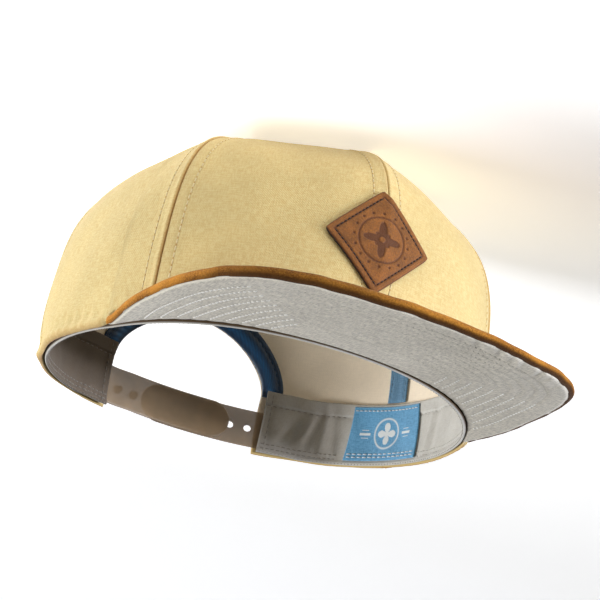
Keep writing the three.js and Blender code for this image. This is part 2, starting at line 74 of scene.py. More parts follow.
# Rim, an oval seen from above, and the crown over it
RIM_HALF_WIDTH = 90.4
RIM_HALF_LENGTH = 98.9
RIM_EGG = -0.046
RIM_SQUARE = 0.107
RIM_FRONT_Z = -3.5
RIM_BACK_RISE = 0.05
RIM_RISE_FROM_Y = -40
RIM_PROBE = 0.5
CROWN_HEIGHT = 103.8
TOP_Y = 15.3
CLOTH = 1.2
LAYER_GAP = 0.6
DOME_ROOT = 0.445
PANEL_PULL_POWER = 2.34
TOP_EASE = 1.45
SEAM_ANGLES = np.array([0, 55.5, 112.5, 180])
SEAM_POWERS = np.array([6.3, 4.85, 4.78, 2.1])
SEAM_BULGES = np.array([0.046, 0.013, 0.039, 0.04])
BACK_ANGLE = 180
PANEL_HOLE_RADIUS = 3.4

# Makes the curve of a bulge, rise times the square of 1 - rise, reach 1 where it is highest
BULGE_SCALE = 27 / 4

# Steps in degrees and in share of the height, over which slopes of the crown are read
CROWN_PROBE_ANGLE = 0.6
CROWN_PROBE_RISE = 0.004
CROWN_PROBE_TOP = 0.9995
ACROSS_PROBE = 3.0

# The level surface that the crown is pressed on
REST_TILT = math.radians(10)
REST_DEPTH = 103.8
REST_BLEND = 0.3
REST_NORMAL = np.array([0, -math.sin(REST_TILT), math.cos(REST_TILT)])

# Bill
PEAK_THICKNESS = 3.8
UNDERBILL_THICKNESS = 0.8
BILL_GAP = 0.3
BILL_STACK = UNDERBILL_THICKNESS + PEAK_THICKNESS + 2 * BILL_GAP
PEAK_HALF_ANGLE = 68
LEDGE_START = -0.9
LEDGE_BLEND = 0.4
PEAK_SLOPE = 0.094
PEAK_ROLL = 1.5
PEAK_WING = 90
PEAK_CORNER_REACH = 1.2
PEAK_INSIDE = 0.1
PEAK_OUTLINE = [(84, -83.3), (65.2, -145.3), (0, -164.8)]
PEAK_TIP_SHARE = 0.4

# How far the bill's front edge is lifted on the wearer's right, and again near its middle
FRONT_LIFT = 1.2
FRONT_LIFT_STARTS_X = (-72, -42)
FRONT_LIFT_ENDS_X = (45, 20)
FRONT_LIFT_Y = (-95, -145)
CENTRE_LIFT = 0.7
CENTRE_LIFT_X = -8
CENTRE_LIFT_WIDTH = 25
CENTRE_LIFT_Y = (-120, -155)

# Sweatband, label, tapes, arch and closure
BAND_HEIGHT = 30.4
BAND_THICKNESS = 1.2
BAND_LIP = 1.2
BAND_END_ANGLE = 154.5
TUCK_ANGLE = 147
TUCK_BLEND = 7
TUCK_DEPTH = 2
LABEL_ANGLES = (98.5, 126)
LABEL_HEIGHTS = (1.5, 29)
LABEL_THICKNESS = 0.6
TAPE_HALF_WIDTH = 6
TAPE_THICKNESS = 0.7
TAPE_TOP_RADIUS = 8
TAPE_NARROWING = 0.33
ARCH_HALF_WIDTH = 38.3
ARCH_BASE = 31
ARCH_HEIGHT = 26.5
ARCH_POWER = 1.75
ARCH_FOOT = -10
ARCH_POINTS = 241
BINDING_WIDTH = 9.5
BINDING_THICKNESS = 0.8
BINDING_LOW = 34.5
BINDING_REVEAL = 0.4
PATCH_HALF_DIAGONAL = 22.5
PATCH_CENTRE_Z = 42.5
PATCH_THICKNESS = 1.8
STRAP_WIDTH = 18.4
STRAP_THICKNESS = 1.2
STRAP_LOW = 4.6
STRAP_MIDDLE = STRAP_LOW + STRAP_WIDTH / 2
STRAP_DEPTH = 1.9
STRAP_STEP = 1.6
STRAP_HOLDER_X = 45
STRAP_STEP_FROM = -37
STRAP_STEP_TO = -26
STRAP_OUTER_END = -19.6
STRAP_INNER_END = 25.3
HOLE_PITCH = 8.3
FIRST_HOLE_X = 34.4
FIRST_PEG_X = 17.8
HOLE_COUNT = 7
PEG_COUNT = 7
HOLE_RADIUS = 1.8
PEG_RADIUS = 1.4
PEG_HEAD_RADIUS = 2.1
PEG_HEAD_HEIGHT = 0.9
BUTTON_RADIUS = 7
BUTTON_HEIGHT = 2.5
STEM_RADIUS = 2
BACK_DISC_RADIUS = 5.5
BACK_DISC_THICKNESS = 1

# Camera: its place and axes in the worn frame, and its focal length in pixels of a 600 pixel picture
CAMERA_PLACE = np.array([-273.68, -719.06, -236.60])
CAMERA_RIGHT = np.array([0.88671, -0.42436, 0.18347])
CAMERA_DOWN = np.array([0.30683, 0.24333, -0.92013])
FOCAL_PIXELS = 1879.94
PICTURE_PIXELS = 600
SENSOR_MM = 36

SEED = 7


def paint(red, green, blue):
    """A colour as scene values, from how it looks on paper in steps of 255."""
    shares = [step / 255 for step in (red, green, blue)]
    return tuple(s / 12.92 if s <= 0.04045 else ((s + 0.055) / 1.055) ** 2.4 for s in shares)


def colour_property(name, description, red, green, blue):
    default = paint(red, green, blue)
    return FloatVectorProperty(
        name=name, description=description, default=default, subtype="COLOR", size=3, min=0, max=1
    )


def size_property(name, description, default, low, high):
    return FloatProperty(name=name, description=description + ", mm", default=default, min=low, max=high)


def power_property(name, description, default):
    return FloatProperty(name=name, description=description, default=default, min=0, subtype="POWER")


class CapColours(bpy.types.PropertyGroup):
    """Colours of the cap's cloths, leathers and threads."""

    crown: colour_property("Crown", "Brushed cotton of the crown", 211, 194, 138)
    crown_slub: colour_property("Crown slubs", "Darker threads in the crown", 200, 174, 116)
    # Painted shade down the seams' grooves and along the hem behind the bill
    crown_painted_shade: colour_property("Crown painted shade", "Shade down in a seam", 166, 110, 36)
    lining: colour_property("Crown inside", "Back of the crown cloth", 255, 240, 216)
    suede: colour_property("Suede", "Suede on top of the bill", 172, 116, 42)
    suede_dark: colour_property("Suede, brushed", "Suede where its nap lies the other way", 98, 56, 14)
    underbill: colour_property("Underbill", "Grey cloth under the bill", 221, 215, 201)
    underbill_slub: colour_property("Underbill slubs", "Darker threads under the bill", 182, 177, 167)
    band: colour_property("Sweatband", "Twill of the sweatband", 207, 206, 201)
    band_slub: colour_property("Sweatband slubs", "Darker threads in the sweatband", 187, 184, 176)
    # Painted shade: the colour of the band's back face, of its darkened ends and of the thread sewn there
    band_painted_shade: colour_property("Sweatband painted shade", "Shaded back of the sweatband", 84, 66, 46)
    tape: colour_property("Seam tape", "Cotton tape over the seams", 108, 148, 178)
    tape_slub: colour_property("Seam tape slubs", "Darker threads in the tape", 84, 122, 152)
    binding: colour_property("Binding", "Satin binding round the arch", 12, 34, 58)
    binding_sheen: colour_property("Binding threads", "Lighter threads in the binding", 24, 62, 98)
    # A painted highlight across the padded middle of the binding
    binding_painted_highlight: colour_property("Binding painted highlight", "Padded middle of the binding", 40, 104, 160)
    label: colour_property("Label", "Satin ground of the label", 106, 172, 214)
    label_slub: colour_property("Label weft", "Darker threads in the label", 78, 142, 186)
    label_motif: colour_property("Label motif", "White thread of the label's motif", 226, 230, 230)
    leather: colour_property("Leather", "Leather of the patch", 142, 88, 34)
    leather_pressed: colour_property("Pressed leather", "Where the patch is pressed", 78, 42, 18)
    leather_edge: colour_property("Leather edge", "Burnt cut edge of the patch", 26, 16, 10)
    strap: colour_property("Strap", "Plastic of the closure", 156, 132, 102)
    crown_thread: colour_property("Crown thread", "Topstitching of the crown", 226, 210, 164)
    # Painted shade of the needle holes, as dark dashes between the crown's stitches
    needle_hole_shade: colour_property("Needle holes", "Holes between the crown's stitches", 196, 160, 94)
    bill_thread: colour_property("Bill thread", "White stitches under the bill's wings", 240, 238, 232)
    front_thread: colour_property("Front thread", "Stitches under the bill's front", 210, 206, 198)
    suede_thread: colour_property("Suede thread", "Stitches on top of the bill", 132, 80, 30)
    band_thread: colour_property("Band thread", "Stitches of the sweatband", 196, 193, 186)
    tape_thread: colour_property("Tape thread", "Stitches of the tapes", 120, 156, 184)


class CapStitching(bpy.types.PropertyGroup):
    """Sizes of the sewing."""

    pitch: size_property("Pitch", "From one crown stitch to the next", 2.9, 1.5, 8)
    dash: size_property("Dash", "Length of one crown stitch", 2.1, 1, 6)
    bill_pitch: size_property("Bill pitch", "From one bill stitch to the next", 2.4, 1.5, 8)
    bill_dash: size_property("Bill dash", "Length of one bill stitch", 1.75, 1, 6)
    thread: size_property("Thread", "Half the thickness of the thread", 0.27, 0.1, 0.6)
    seam_margin: size_property("Seam margin", "From a crown seam to its topstitching", 6, 2, 9)


class CapRelief(bpy.types.PropertyGroup):
    """How far the cloth stands up and sinks in."""

    groove: size_property("Seam groove", "Depth of a crown seam", 0.9, 0, 2)
    allowance: size_property("Seam allowance", "How far the cloth lies up beside a seam", 0.4, 0, 1)
    drift: size_property("Drift", "Soft waves of the panels", 0.55, 0, 2)
    pucker: size_property("Pucker", "Gathers at the sewn edges", 0.5, 0, 1)
    bill_pucker: size_property("Bill pucker", "Gathers at the bill's outer edge", 0.45, 0, 1)


class CapStage(bpy.types.PropertyGroup):
    """Light and floor."""

    floor: colour_property("Floor", "Colour of the floor", 250, 250, 250)
    glow: FloatProperty(name="Glow", description="Light of the floor itself", default=0.48, min=0, max=1)
    key: power_property("Key light", "Power of the key light", 14)
    front: power_property("Front light", "Power of the front light", 27)
    side: power_property("Side light", "Power of the side light", 31)
    sky: FloatProperty(name="Sky", description="Strength of the even light all round", default=0.02, min=0)


# Numbers

HALVINGS = 26


def mix(a, b, t):
    return a + (b - a) * t


def smooth(low, high, value):
    """0 before low, 1 past high, and a soft step between them."""
    t = np.clip((value - low) / (high - low), 0, 1)
    return t * t * (3 - 2 * t)


def hump(distance, width):
    """1 where distance is 0, falling away over a width."""
    return np.exp(-((distance / width) ** 2))


def unit(vectors):
    return vectors / np.maximum(np.linalg.norm(vectors, axis=-1, keepdims=True), 1e-12)


def solve(low, high, test):
    """Where, between low and high, a rising test turns true, for each entry."""
    for _ in range(HALVINGS):
        middle = (low + high) / 2
        passed = test(middle)
        high = np.where(passed, middle, high)
        low = np.where(passed, low, middle)
    return (low + high) / 2


def lengths_along(points):
    """How far along its path each point of the last but one axis lies."""
    steps = np.linalg.norm(np.diff(points, axis=-2), axis=-1)
    return np.concatenate([np.zeros_like(steps[..., :1]), np.cumsum(steps, -1)], -1)


def sample(places, known, values):
    """Values, one column each, read off at places along a known scale."""
    columns = [np.interp(places, known, values[..., c]) for c in range(values.shape[-1])]
    return np.stack(columns, -1)


def waves(across, along, shortest, longest, seed, count=7):
    """A soft field of about -1 to 1, from sines of several lengths and directions."""
    draw = np.random.default_rng(SEED + seed)
    total = np.zeros(np.broadcast(across, along).shape)
    for _ in range(count):
        turn, phase = draw.uniform(0, 2 * np.pi, 2)
        length = draw.uniform(shortest, longest)
        ahead = across * np.cos(turn) + along * np.sin(turn)
        total += np.sin(2 * np.pi * ahead / length + phase)
    return total / math.sqrt(2 * count)


# Surfaces of the worn cap


def rim(angle):
    s = np.sin(np.radians(angle))
    c = np.cos(np.radians(angle))
    x = RIM_HALF_WIDTH * s * (1 + RIM_EGG * c)
    y = -RIM_HALF_LENGTH * c * (1 + RIM_SQUARE * s * s)
    return np.stack([x, y, RIM_FRONT_Z + RIM_BACK_RISE * np.maximum(0, y - RIM_RISE_FROM_Y)], -1)


def rim_inward(angle):
    along = rim(angle + RIM_PROBE) - rim(angle - RIM_PROBE)
    return unit(np.stack([-along[..., 1], along[..., 0], np.zeros_like(along[..., 0])], -1))


def bill_height(x, y):
    """How high the underside of the bill lies."""
    wing = x / PEAK_WING
    ahead = -RIM_HALF_LENGTH - y
    level = RIM_FRONT_Z - PEAK_SLOPE * ahead * np.maximum(0, 1 - wing**2) - PEAK_ROLL * wing**2
    across = smooth(*FRONT_LIFT_STARTS_X, x) * smooth(*FRONT_LIFT_ENDS_X, x)
    front = FRONT_LIFT * across * smooth(*FRONT_LIFT_Y, y)
    centre = CENTRE_LIFT * hump(x - CENTRE_LIFT_X, CENTRE_LIFT_WIDTH) * smooth(*CENTRE_LIFT_Y, y)
    return level + front + centre


def at_height(plan, z):
    """Places in plan, raised to a height."""
    return np.concatenate([plan, z[..., None]], -1)


def crown_edge_height(angle):
    base = rim(angle)
    on_bill = bill_height(base[..., 0], base[..., 1]) + BILL_STACK
    behind = smooth(PEAK_HALF_ANGLE + LEDGE_START, PEAK_HALF_ANGLE + LEDGE_BLEND, np.abs(angle))
    return mix(on_bill, base[..., 2], behind)


def seams_around(turn):
    """The seam before each angle, and the share of the way to the next."""
    before = np.clip(np.searchsorted(SEAM_ANGLES, turn, side="right") - 1, 0, len(SEAM_ANGLES) - 2)
    gap = SEAM_ANGLES[before + 1] - SEAM_ANGLES[before]
    return before, (turn - SEAM_ANGLES[before]) / gap


def dome(angle, rise):
    before, share = seams_around(np.abs(angle))
    t = share * share * (3 - 2 * share)
    base = rim(angle)
    bulge = mix(SEAM_BULGES[before], SEAM_BULGES[before + 1], t)
    power = mix(SEAM_POWERS[before], SEAM_POWERS[before + 1], t)
    reach = np.maximum(0, 1 - rise**power) ** DOME_ROOT
    reach = reach * (1 + BULGE_SCALE * bulge * rise * (1 - rise) ** 2)
    level = TOP_Y + (base[..., 1] - TOP_Y) * reach
    return np.stack([base[..., 0] * reach, level, mix(base[..., 2], CROWN_HEIGHT, rise)], -1)


def pressed(points):
    """Points past the resting plane, pressed flat on to it."""
    over = points @ REST_NORMAL - REST_DEPTH
    near = -(np.maximum(0, REST_BLEND - over) ** 2) / (4 * REST_BLEND)
    kept = np.where(over >= REST_BLEND, 0, near)
    return points + np.where(over > -REST_BLEND, kept - over, 0)[..., None] * REST_NORMAL


def crown(angle, rise):
    """The outside of the crown, each panel drawn flat between its seams higher up."""
    angle, rise = np.broadcast_arrays(np.asarray(angle, float), np.clip(rise, 0, 1))
    angle = (angle + 180) % 360 - 180
    side = np.where(angle < 0, -1, 1)
    before, share = seams_around(np.abs(angle))
    full = dome(angle, rise)
    ends = [dome(SEAM_ANGLES[before + step] * side, rise) for step in (0, 1)]
    chord = mix(ends[0], ends[1], share[..., None])
    pull = (rise**PANEL_PULL_POWER)[..., None]
    drawn = mix(full, chord, pull)
    drawn[..., 2] = full[..., 2]
    return pressed(drawn)


def crown_normal(angle, rise):
    high = np.minimum(CROWN_PROBE_TOP, rise + CROWN_PROBE_RISE)
    low = np.maximum(0, high - 2 * CROWN_PROBE_RISE)
    along = crown(angle + CROWN_PROBE_ANGLE, rise) - crown(angle - CROWN_PROBE_ANGLE, rise)
    return unit(np.cross(along, crown(angle, high) - crown(angle, low)))


def inside_crown(angle, rise, depth):
    return crown(angle, rise) - crown_normal(angle, rise) * np.asarray(depth)[..., None]


def rise_at_height(angle, z):
    low = rim(angle)[..., 2]
    return (z - low) / (CROWN_HEIGHT - low)


def from_top(points):
    return np.hypot(points[..., 0], points[..., 1] - TOP_Y)


def rise_at_radius(angle, radius):
    start = np.full(np.shape(angle), 0.5)
    return solve(start, start + 0.5, lambda rise: from_top(crown(angle, rise)) < radius)


def rise_between(low, high, share):
    start = np.arcsin(np.maximum(0, low))
    return np.sin(mix(start, np.arcsin(high), 1 - (1 - share) ** TOP_EASE))


def angle_across(angle, offset, rise):
    """The angle at an arc length across the crown from another one."""
    probe = np.where(offset < 0, -ACROSS_PROBE, ACROSS_PROBE)
    span = np.linalg.norm(crown(angle + probe, rise) - crown(angle, rise), axis=-1)
    return angle + np.abs(offset) / span * probe


def wall(angle, z, depth):
    """A point level with z, so far inside the crown's wall."""
    base = rim(angle)
    points = crown(angle, np.maximum(0, rise_at_height(angle, z))) + rim_inward(angle) * depth[..., None]
    points[..., 2] = np.maximum(z, base[..., 2] - BAND_LIP)
    return points


def arch_point(share):
    c = -np.cos(share * np.pi)
    power = 2 / ARCH_POWER
    x = np.sign(c) * ARCH_HALF_WIDTH * np.abs(c) ** power
    return np.stack([x, ARCH_BASE + ARCH_HEIGHT * np.maximum(0, np.sin(share * np.pi)) ** power], -1)


ARCH_LINE = np.concatenate([
    [[-ARCH_HALF_WIDTH, ARCH_FOOT]],
    arch_point(np.linspace(0, 1, ARCH_POINTS)),
    [[ARCH_HALF_WIDTH, ARCH_FOOT]],
])


def arch_offset(share, distance):
    """A place across and up, so far outside the arch's edge."""
    edge = arch_point(share)
    along = arch_point(np.minimum(1, share + 0.01)) - arch_point(np.maximum(0, share - 0.01))
    away = unit(np.stack([-along[..., 1], along[..., 0]], -1))
    return edge + away * np.asarray(distance)[..., None]


def in_arch(points):
    """Which points lie in the arched opening."""
    share = np.clip(1 - (np.abs(points[..., 0]) / ARCH_HALF_WIDTH) ** ARCH_POWER, 0, 1)
    top = ARCH_BASE + ARCH_HEIGHT * share ** (1 / ARCH_POWER)
    across = np.abs(points[..., 0]) < ARCH_HALF_WIDTH
    return across & (points[..., 2] < top) & (points[..., 1] > 0)


def back_angle(x, z):
    """The angle at which the back of the crown passes a place across and a height."""
    low = np.full(np.shape(x), 90.0)
    turn = solve(low, low + 89.5, lambda angle: crown(angle, rise_at_height(angle, z))[..., 0] < np.abs(x))
    return np.where(np.abs(x) < 0.5, BACK_ANGLE, np.where(x < 0, -turn, turn))


def place(points):
    """Worn millimetres to metres where the cap lies."""
    c = math.cos(REST_TILT)
    s = math.sin(REST_TILT)
    x, y, z = np.moveaxis(np.asarray(points, float), -1, 0)
    return np.stack([-x, y * c + z * s + REST_SHIFT, y * s - z * c + REST_DEPTH], -1) / 1000


BILL_TIP_Y = PEAK_OUTLINE[-1][1]
BILL_TIP_Z = (
    bill_height(0, BILL_TIP_Y) + UNDERBILL_THICKNESS + BILL_GAP + PEAK_THICKNESS * PEAK_TIP_SHARE
)
REST_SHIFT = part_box("peak")[0].y * 1000 - BILL_TIP_Y * math.cos(REST_TILT) - BILL_TIP_Z * math.sin(REST_TILT)


# Meshes

# One stitch, as rings along it: place along the dash, lift and thickness in thread radii
DASH_RINGS = np.array([
    (-0.5, -1.0, 0.5),
    (-0.4, 0.1, 0.95),
    (0.0, 0.6, 1.0),
    (0.4, 0.1, 0.95),
    (0.5, -1.0, 0.5),
])
DASH_SIDES = 6

# The four corners of all cells of a grid, in order round a cell
CELL_CORNERS = [
    (slice(0, -1), slice(0, -1)),
    (slice(0, -1), slice(1, None)),
    (slice(1, None), slice(1, None)),
    (slice(1, None), slice(0, -1)),
]


def oriented(points, faces):
    """Faces turned so that a closed form's volume is positive."""
    corners = points[faces]
    a, b, c = corners[:, 0], corners[:, 1], corners[:, 2]
    volume = np.einsum("ij,ij->", a, np.cross(b, c))
    if faces.shape[1] == 4:
        volume += np.einsum("ij,ij->", a, np.cross(c, corners[:, 3]))
    return volume > 0


class Pile:
    """Collects the closed forms of one piece, with cloth coordinates in mm, marks and finishes."""

    def __init__(self):
        self.points = []
        self.cloth = []
        self.marks = []
        self.faces = []
        self.finish = []
        self.count = 0

    def add(self, points, face_sets, cloth=None, marks=None):
        """Face sets are pairs of faces and the number of their finish; the first decides which way is out."""
        points = np.asarray(points, float).reshape(-1, 3)
        size = len(points)
        cloth = points if cloth is None else np.reshape(cloth, (size, -1))
        if cloth.shape[1] == 2:
            cloth = np.concatenate([cloth, np.zeros((size, 1))], 1)
        marks = np.zeros(size) if marks is None else np.reshape(marks, size)
        used = np.unique(np.concatenate([np.ravel(faces) for faces, _ in face_sets]))
        renumber = np.zeros(size, int)
        renumber[used] = np.arange(len(used))
        closed = [faces for faces, _ in face_sets]
        quads = np.concatenate([f for f in closed if f.shape[1] == 4])
        outwards = oriented(points - points[used].mean(0), quads)
        for faces, finish in face_sets:
            faces = renumber[faces] + self.count
            faces = faces if outwards else faces[:, ::-1]
            self.faces += faces.tolist()
            self.finish += [finish] * len(faces)
        self.points.append(points[used])
        self.cloth.append(cloth[used])
        self.marks.append(marks[used])
        self.count += len(used)

    def shell(self, outer, inner, kept=None, finishes=(0, 0, 0), cloth=None, marks=None, inner_marks=None):
        """A closed sheet between two grids: outer, inner and edge finishes. kept says which cells stay."""
        rows, columns = outer.shape[:2]
        size = rows * columns
        number = np.arange(size).reshape(rows, columns)
        quads = np.stack([number[corner] for corner in CELL_CORNERS], -1).reshape(-1, 4)
        if kept is not None:
            quads = quads[kept.ravel()]
        edges = np.concatenate([quads[:, [k, (k + 1) % 4]] for k in range(4)])
        codes = edges[:, 0] * size + edges[:, 1]
        back = edges[:, 1] * size + edges[:, 0]
        rim_edges = edges[~np.isin(codes, back)]
        a, b = rim_edges[:, 0], rim_edges[:, 1]
        border = np.stack([b, a, a + size, b + size], -1)
        points = np.concatenate([outer.reshape(-1, 3), inner.reshape(-1, 3)])
        if cloth is not None:
            cloth = np.concatenate([cloth.reshape(size, -1)] * 2)
        if marks is None:
            marks = np.zeros(size)
        inner_marks = marks if inner_marks is None else inner_marks
        marks = np.concatenate([np.ravel(marks), np.ravel(inner_marks)])
        sets = [(quads, finishes[0]), (quads[:, ::-1] + size, finishes[1]), (border, finishes[2])]
        self.add(points, sets, cloth, marks)

    def loft(self, rings, finish=0, cloth=None, marks=None, cap_finish=None):
        """A closed form through rings of points, capped at both ends. Extra leading axes are more forms."""
        count, size = rings.shape[-3:-1]
        forms = rings.reshape(-1, count, size, 3)
        i = np.arange(count - 1)[:, None] * size
        j = np.arange(size)[None, :]
        after = (j + 1) % size
        quads = np.stack([i + j, i + after, i + size + after, i + size + j], -1).reshape(-1, 4)
        caps = np.stack([np.arange(size)[::-1], np.arange(size) + (count - 1) * size])
        shift = (np.arange(len(forms)) * count * size)[:, None, None]
        quads = (quads[None] + shift).reshape(-1, 4)
        caps = (caps[None] + shift).reshape(-1, size)
        cap_finish = finish if cap_finish is None else cap_finish
        self.add(forms, [(quads, finish), (caps, cap_finish)], cloth, marks)

    def dashes(self, path, up, pitch, dash, thread, finish, unless=None, sink=0.0, phase=0.0):
        """A row of sewn stitches along a path, each an arched length of thread."""
        along = lengths_along(path)
        count = int(along[-1] / pitch)
        if count < 1:
            return
        spare = (along[-1] - count * pitch) / 2
        middles = spare + pitch * (np.arange(count) + 0.5 + phase)
        middles = middles[middles < along[-1] - dash / 2]
        if unless is not None:
            middles = middles[~unless(sample(middles, along, path))]
        if not len(middles):
            return
        places = middles[:, None] + dash * DASH_RINGS[:, 0]
        centre = sample(places, along, path)
        normal = unit(sample(places, along, up))
        ahead = sample(places + 0.2, along, path) - sample(places - 0.2, along, path)
        side = unit(np.cross(normal, unit(ahead)))
        turn = np.arange(DASH_SIDES) * 2 * np.pi / DASH_SIDES
        lift = (thread * DASH_RINGS[:, 1] - sink)[:, None]
        thick = (thread * DASH_RINGS[:, 2])[:, None]
        rings = centre[:, :, None] + normal[:, :, None] * (lift + thick * np.cos(turn))[..., None]
        rings = rings + side[:, :, None] * (thick * np.sin(turn))[..., None]
        self.loft(rings, finish)

    def turned(self, profile, sides, foot, axis, finish=0, pleat=None):
        """A turned form: a profile of radius and height round an axis from a foot."""
        axis = unit(np.asarray(axis, float))
        first = unit(np.cross(axis, [1, 0, 0] if abs(axis[0]) < 0.9 else [0, 1, 0]))
        second = np.cross(axis, first)
        turn = np.arange(sides) * 2 * np.pi / sides
        radius, height = np.asarray(profile, float).T[..., None]
        radius = np.maximum(radius, 1e-3) * (1 if pleat is None else pleat(turn, radius, height))
        rings = foot + axis * height[..., None] + (
            first * (radius * np.cos(turn))[..., None] + second * (radius * np.sin(turn))[..., None]
        )
        self.loft(rings, finish)

    def piece(self, name, finishes, slot):
        """The object that stands for the CAD node of the same name."""
        mesh = bpy.data.meshes.new(name)
        mesh.from_pydata(place(np.concatenate(self.points)).tolist(), [], self.faces)
        cloth = mesh.attributes.new("cloth", "FLOAT_VECTOR", "POINT")
        cloth.data.foreach_set("vector", np.concatenate(self.cloth).astype(np.float32).ravel())
        marks = mesh.attributes.new("marks", "FLOAT", "POINT")
        marks.data.foreach_set("value", np.concatenate(self.marks).astype(np.float32))
        for finish in finishes:
            mesh.materials.append(finish)
        mesh.polygons.foreach_set("material_index", self.finish)
        mesh.polygons.foreach_set("use_smooth", [True] * len(self.faces))
        mesh.update()
        piece = bpy.data.objects.new(name + "_dressed", mesh)
        bpy.context.scene.collection.objects.link(piece)
        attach(piece, "root")
        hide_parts(name)
        return piece


# Shader nodes


def put(tree, node, inputs):
    """Each input of a node set to a value, or linked to the socket of another node."""
    for key, value in inputs.items():
        if isinstance(value, bpy.types.NodeSocket):
            tree.links.new(value, node.inputs[key])
        else:
            node.inputs[key].default_value = value


def add(tree, kind, inputs=None, **settings):
    """A node with its settings and inputs."""
    made = tree.nodes.new(kind)
    for name, value in settings.items():
        setattr(made, name, value)
    put(tree, made, inputs or {})
    return made


def maths(tree, operation, *values):
    return add(tree, "ShaderNodeMath", dict(enumerate(values)), operation=operation).outputs[0]


def weighted(tree, first, first_share, second, second_share):
    """The sum of two values, each by its share."""
    parts = [maths(tree, "MULTIPLY", *part) for part in ((first, first_share), (second, second_share))]
    return maths(tree, "ADD", *parts)


def stretched(tree, vector, scale):
    return add(tree, "ShaderNodeMapping", {"Vector": vector, "Scale": scale}).outputs[0]


def noise(tree, vector, scale, detail=3.0, roughness=0.55):
    wanted = {"Vector": vector, "Scale": scale, "Detail": detail, "Roughness": roughness}
    return add(tree, "ShaderNodeTexNoise", wanted).outputs["Fac"]


def blended(tree, factor, first, second, blend_type="MIX"):
    """Two colours mixed; a colour may be three numbers."""
    inputs = {0: factor}
    for socket, colour in ((6, first), (7, second)):
        inputs[socket] = colour if isinstance(colour, bpy.types.NodeSocket) else (*colour, 1)
    return add(tree, "ShaderNodeMix", inputs, data_type="RGBA", blend_type=blend_type).outputs[2]


def ranged(tree, value, low, high, to_low=0.0, to_high=1.0):
    wanted = {"Value": value, "From Min": low, "From Max": high, "To Min": to_low, "To Max": to_high}
    return add(tree, "ShaderNodeMapRange", wanted).outputs[0]


def group(name, inputs, outputs, fill):
    """A shader node group, built once. Inputs are names with a default, or None for a vector."""
    found = bpy.data.node_groups.get(name)
    if found:
        return found
    tree = bpy.data.node_groups.new(name, "ShaderNodeTree")
    for label, default in inputs:
        kind = "NodeSocketVector" if default is None else "NodeSocketFloat"
        socket = tree.interface.new_socket(label, in_out="INPUT", socket_type=kind)
        if default is not None:
            socket.default_value = default
    for label in outputs:
        tree.interface.new_socket(label, in_out="OUTPUT", socket_type="NodeSocketFloat")
    entry = tree.nodes.new("NodeGroupInput")
    leave = tree.nodes.new("NodeGroupOutput")
    for label, value in fill(tree, entry.outputs).items():
        tree.links.new(value, leave.inputs[label])
    return tree


def use(tree, made, inputs):
    """The outputs of a node group placed in a material with its own values."""
    return add(tree, "ShaderNodeGroup", inputs, node_tree=made).outputs


def fill_weave(tree, given):
    """Plain weave: threads over and under each other, with slubs that run along each thread."""
    wanted = {0: given["Cloth"], "Scale": given["Threads"]}
    spread = add(tree, "ShaderNodeVectorMath", wanted, operation="SCALE")
    cell = add(tree, "ShaderNodeSeparateXYZ", {0: spread.outputs[0]}).outputs
    waves_across = [maths(tree, "SINE", maths(tree, "MULTIPLY", axis, math.pi)) for axis in cell[:2]]
    over = maths(tree, "MULTIPLY", *waves_across)
    runs = [
        noise(tree, stretched(tree, spread.outputs[0], scale), 1.0, 3.0)
        for scale in ((0.16, 0.9, 0.3), (0.9, 0.16, 0.3))
    ]
    warp = maths(tree, "GREATER_THAN", over, 0.0)
    weft = maths(tree, "SUBTRACT", 1.0, warp)
    slub = weighted(tree, runs[0], warp, runs[1], weft)
    both = weighted(tree, runs[0], 0.5, runs[1], 0.5)
    fleck = maths(tree, "SUBTRACT", weighted(tree, slub, 0.5, both, 0.5), 0.5)
    fleck = maths(tree, "ADD", maths(tree, "MULTIPLY", fleck, given["Slub"]), 0.5)
    return {"Height": weighted(tree, over, 0.35, fleck, 1.0), "Fleck": fleck}


def fill_mottle(tree, given):
    """Soft wear and shade over a broad area, with a finer fuzz on it."""
    broad = noise(tree, given["Place"], given["Broad"], 2.0, 0.5)
    fine = noise(tree, given["Place"], given["Fine"], 4.0, 0.65)
    return {"Broad": broad, "Fine": fine}


def weave_group():
    return group("Weave", [("Cloth", None), ("Threads", 1.6), ("Slub", 1.0)], ["Height", "Fleck"], fill_weave)


def mottle_group():
    return group("Mottle", [("Place", None), ("Broad", 0.03), ("Fine", 0.5)], ["Broad", "Fine"], fill_mottle)


def start_material(name):
    """A new material's tree, its shader, and the cloth coordinates and marks of the piece."""
    material = bpy.data.materials.new(name)
    material.use_nodes = True
    tree = material.node_tree
    shader = tree.nodes["Principled BSDF"]
    cloth = add(tree, "ShaderNodeAttribute", attribute_name="cloth").outputs["Vector"]
    marks = add(tree, "ShaderNodeAttribute", attribute_name="marks").outputs["Fac"]
    return material, tree, shader, cloth, marks


def finish_shader(tree, shader, colour, roughness, height, relief, sheen=0.0, specular=0.2):
    """Colour and relief in, with the even values on the shader itself."""
    raised = add(tree, "ShaderNodeBump", {"Strength": 1.0, "Distance": relief, "Height": height})
    put(tree, shader, {
        "Base Color": colour,
        "Roughness": roughness,
        "Sheen Weight": sheen,
        "Sheen Roughness": 0.5,
        "Specular IOR Level": specular,
        "Normal": raised.outputs["Normal"],
    })


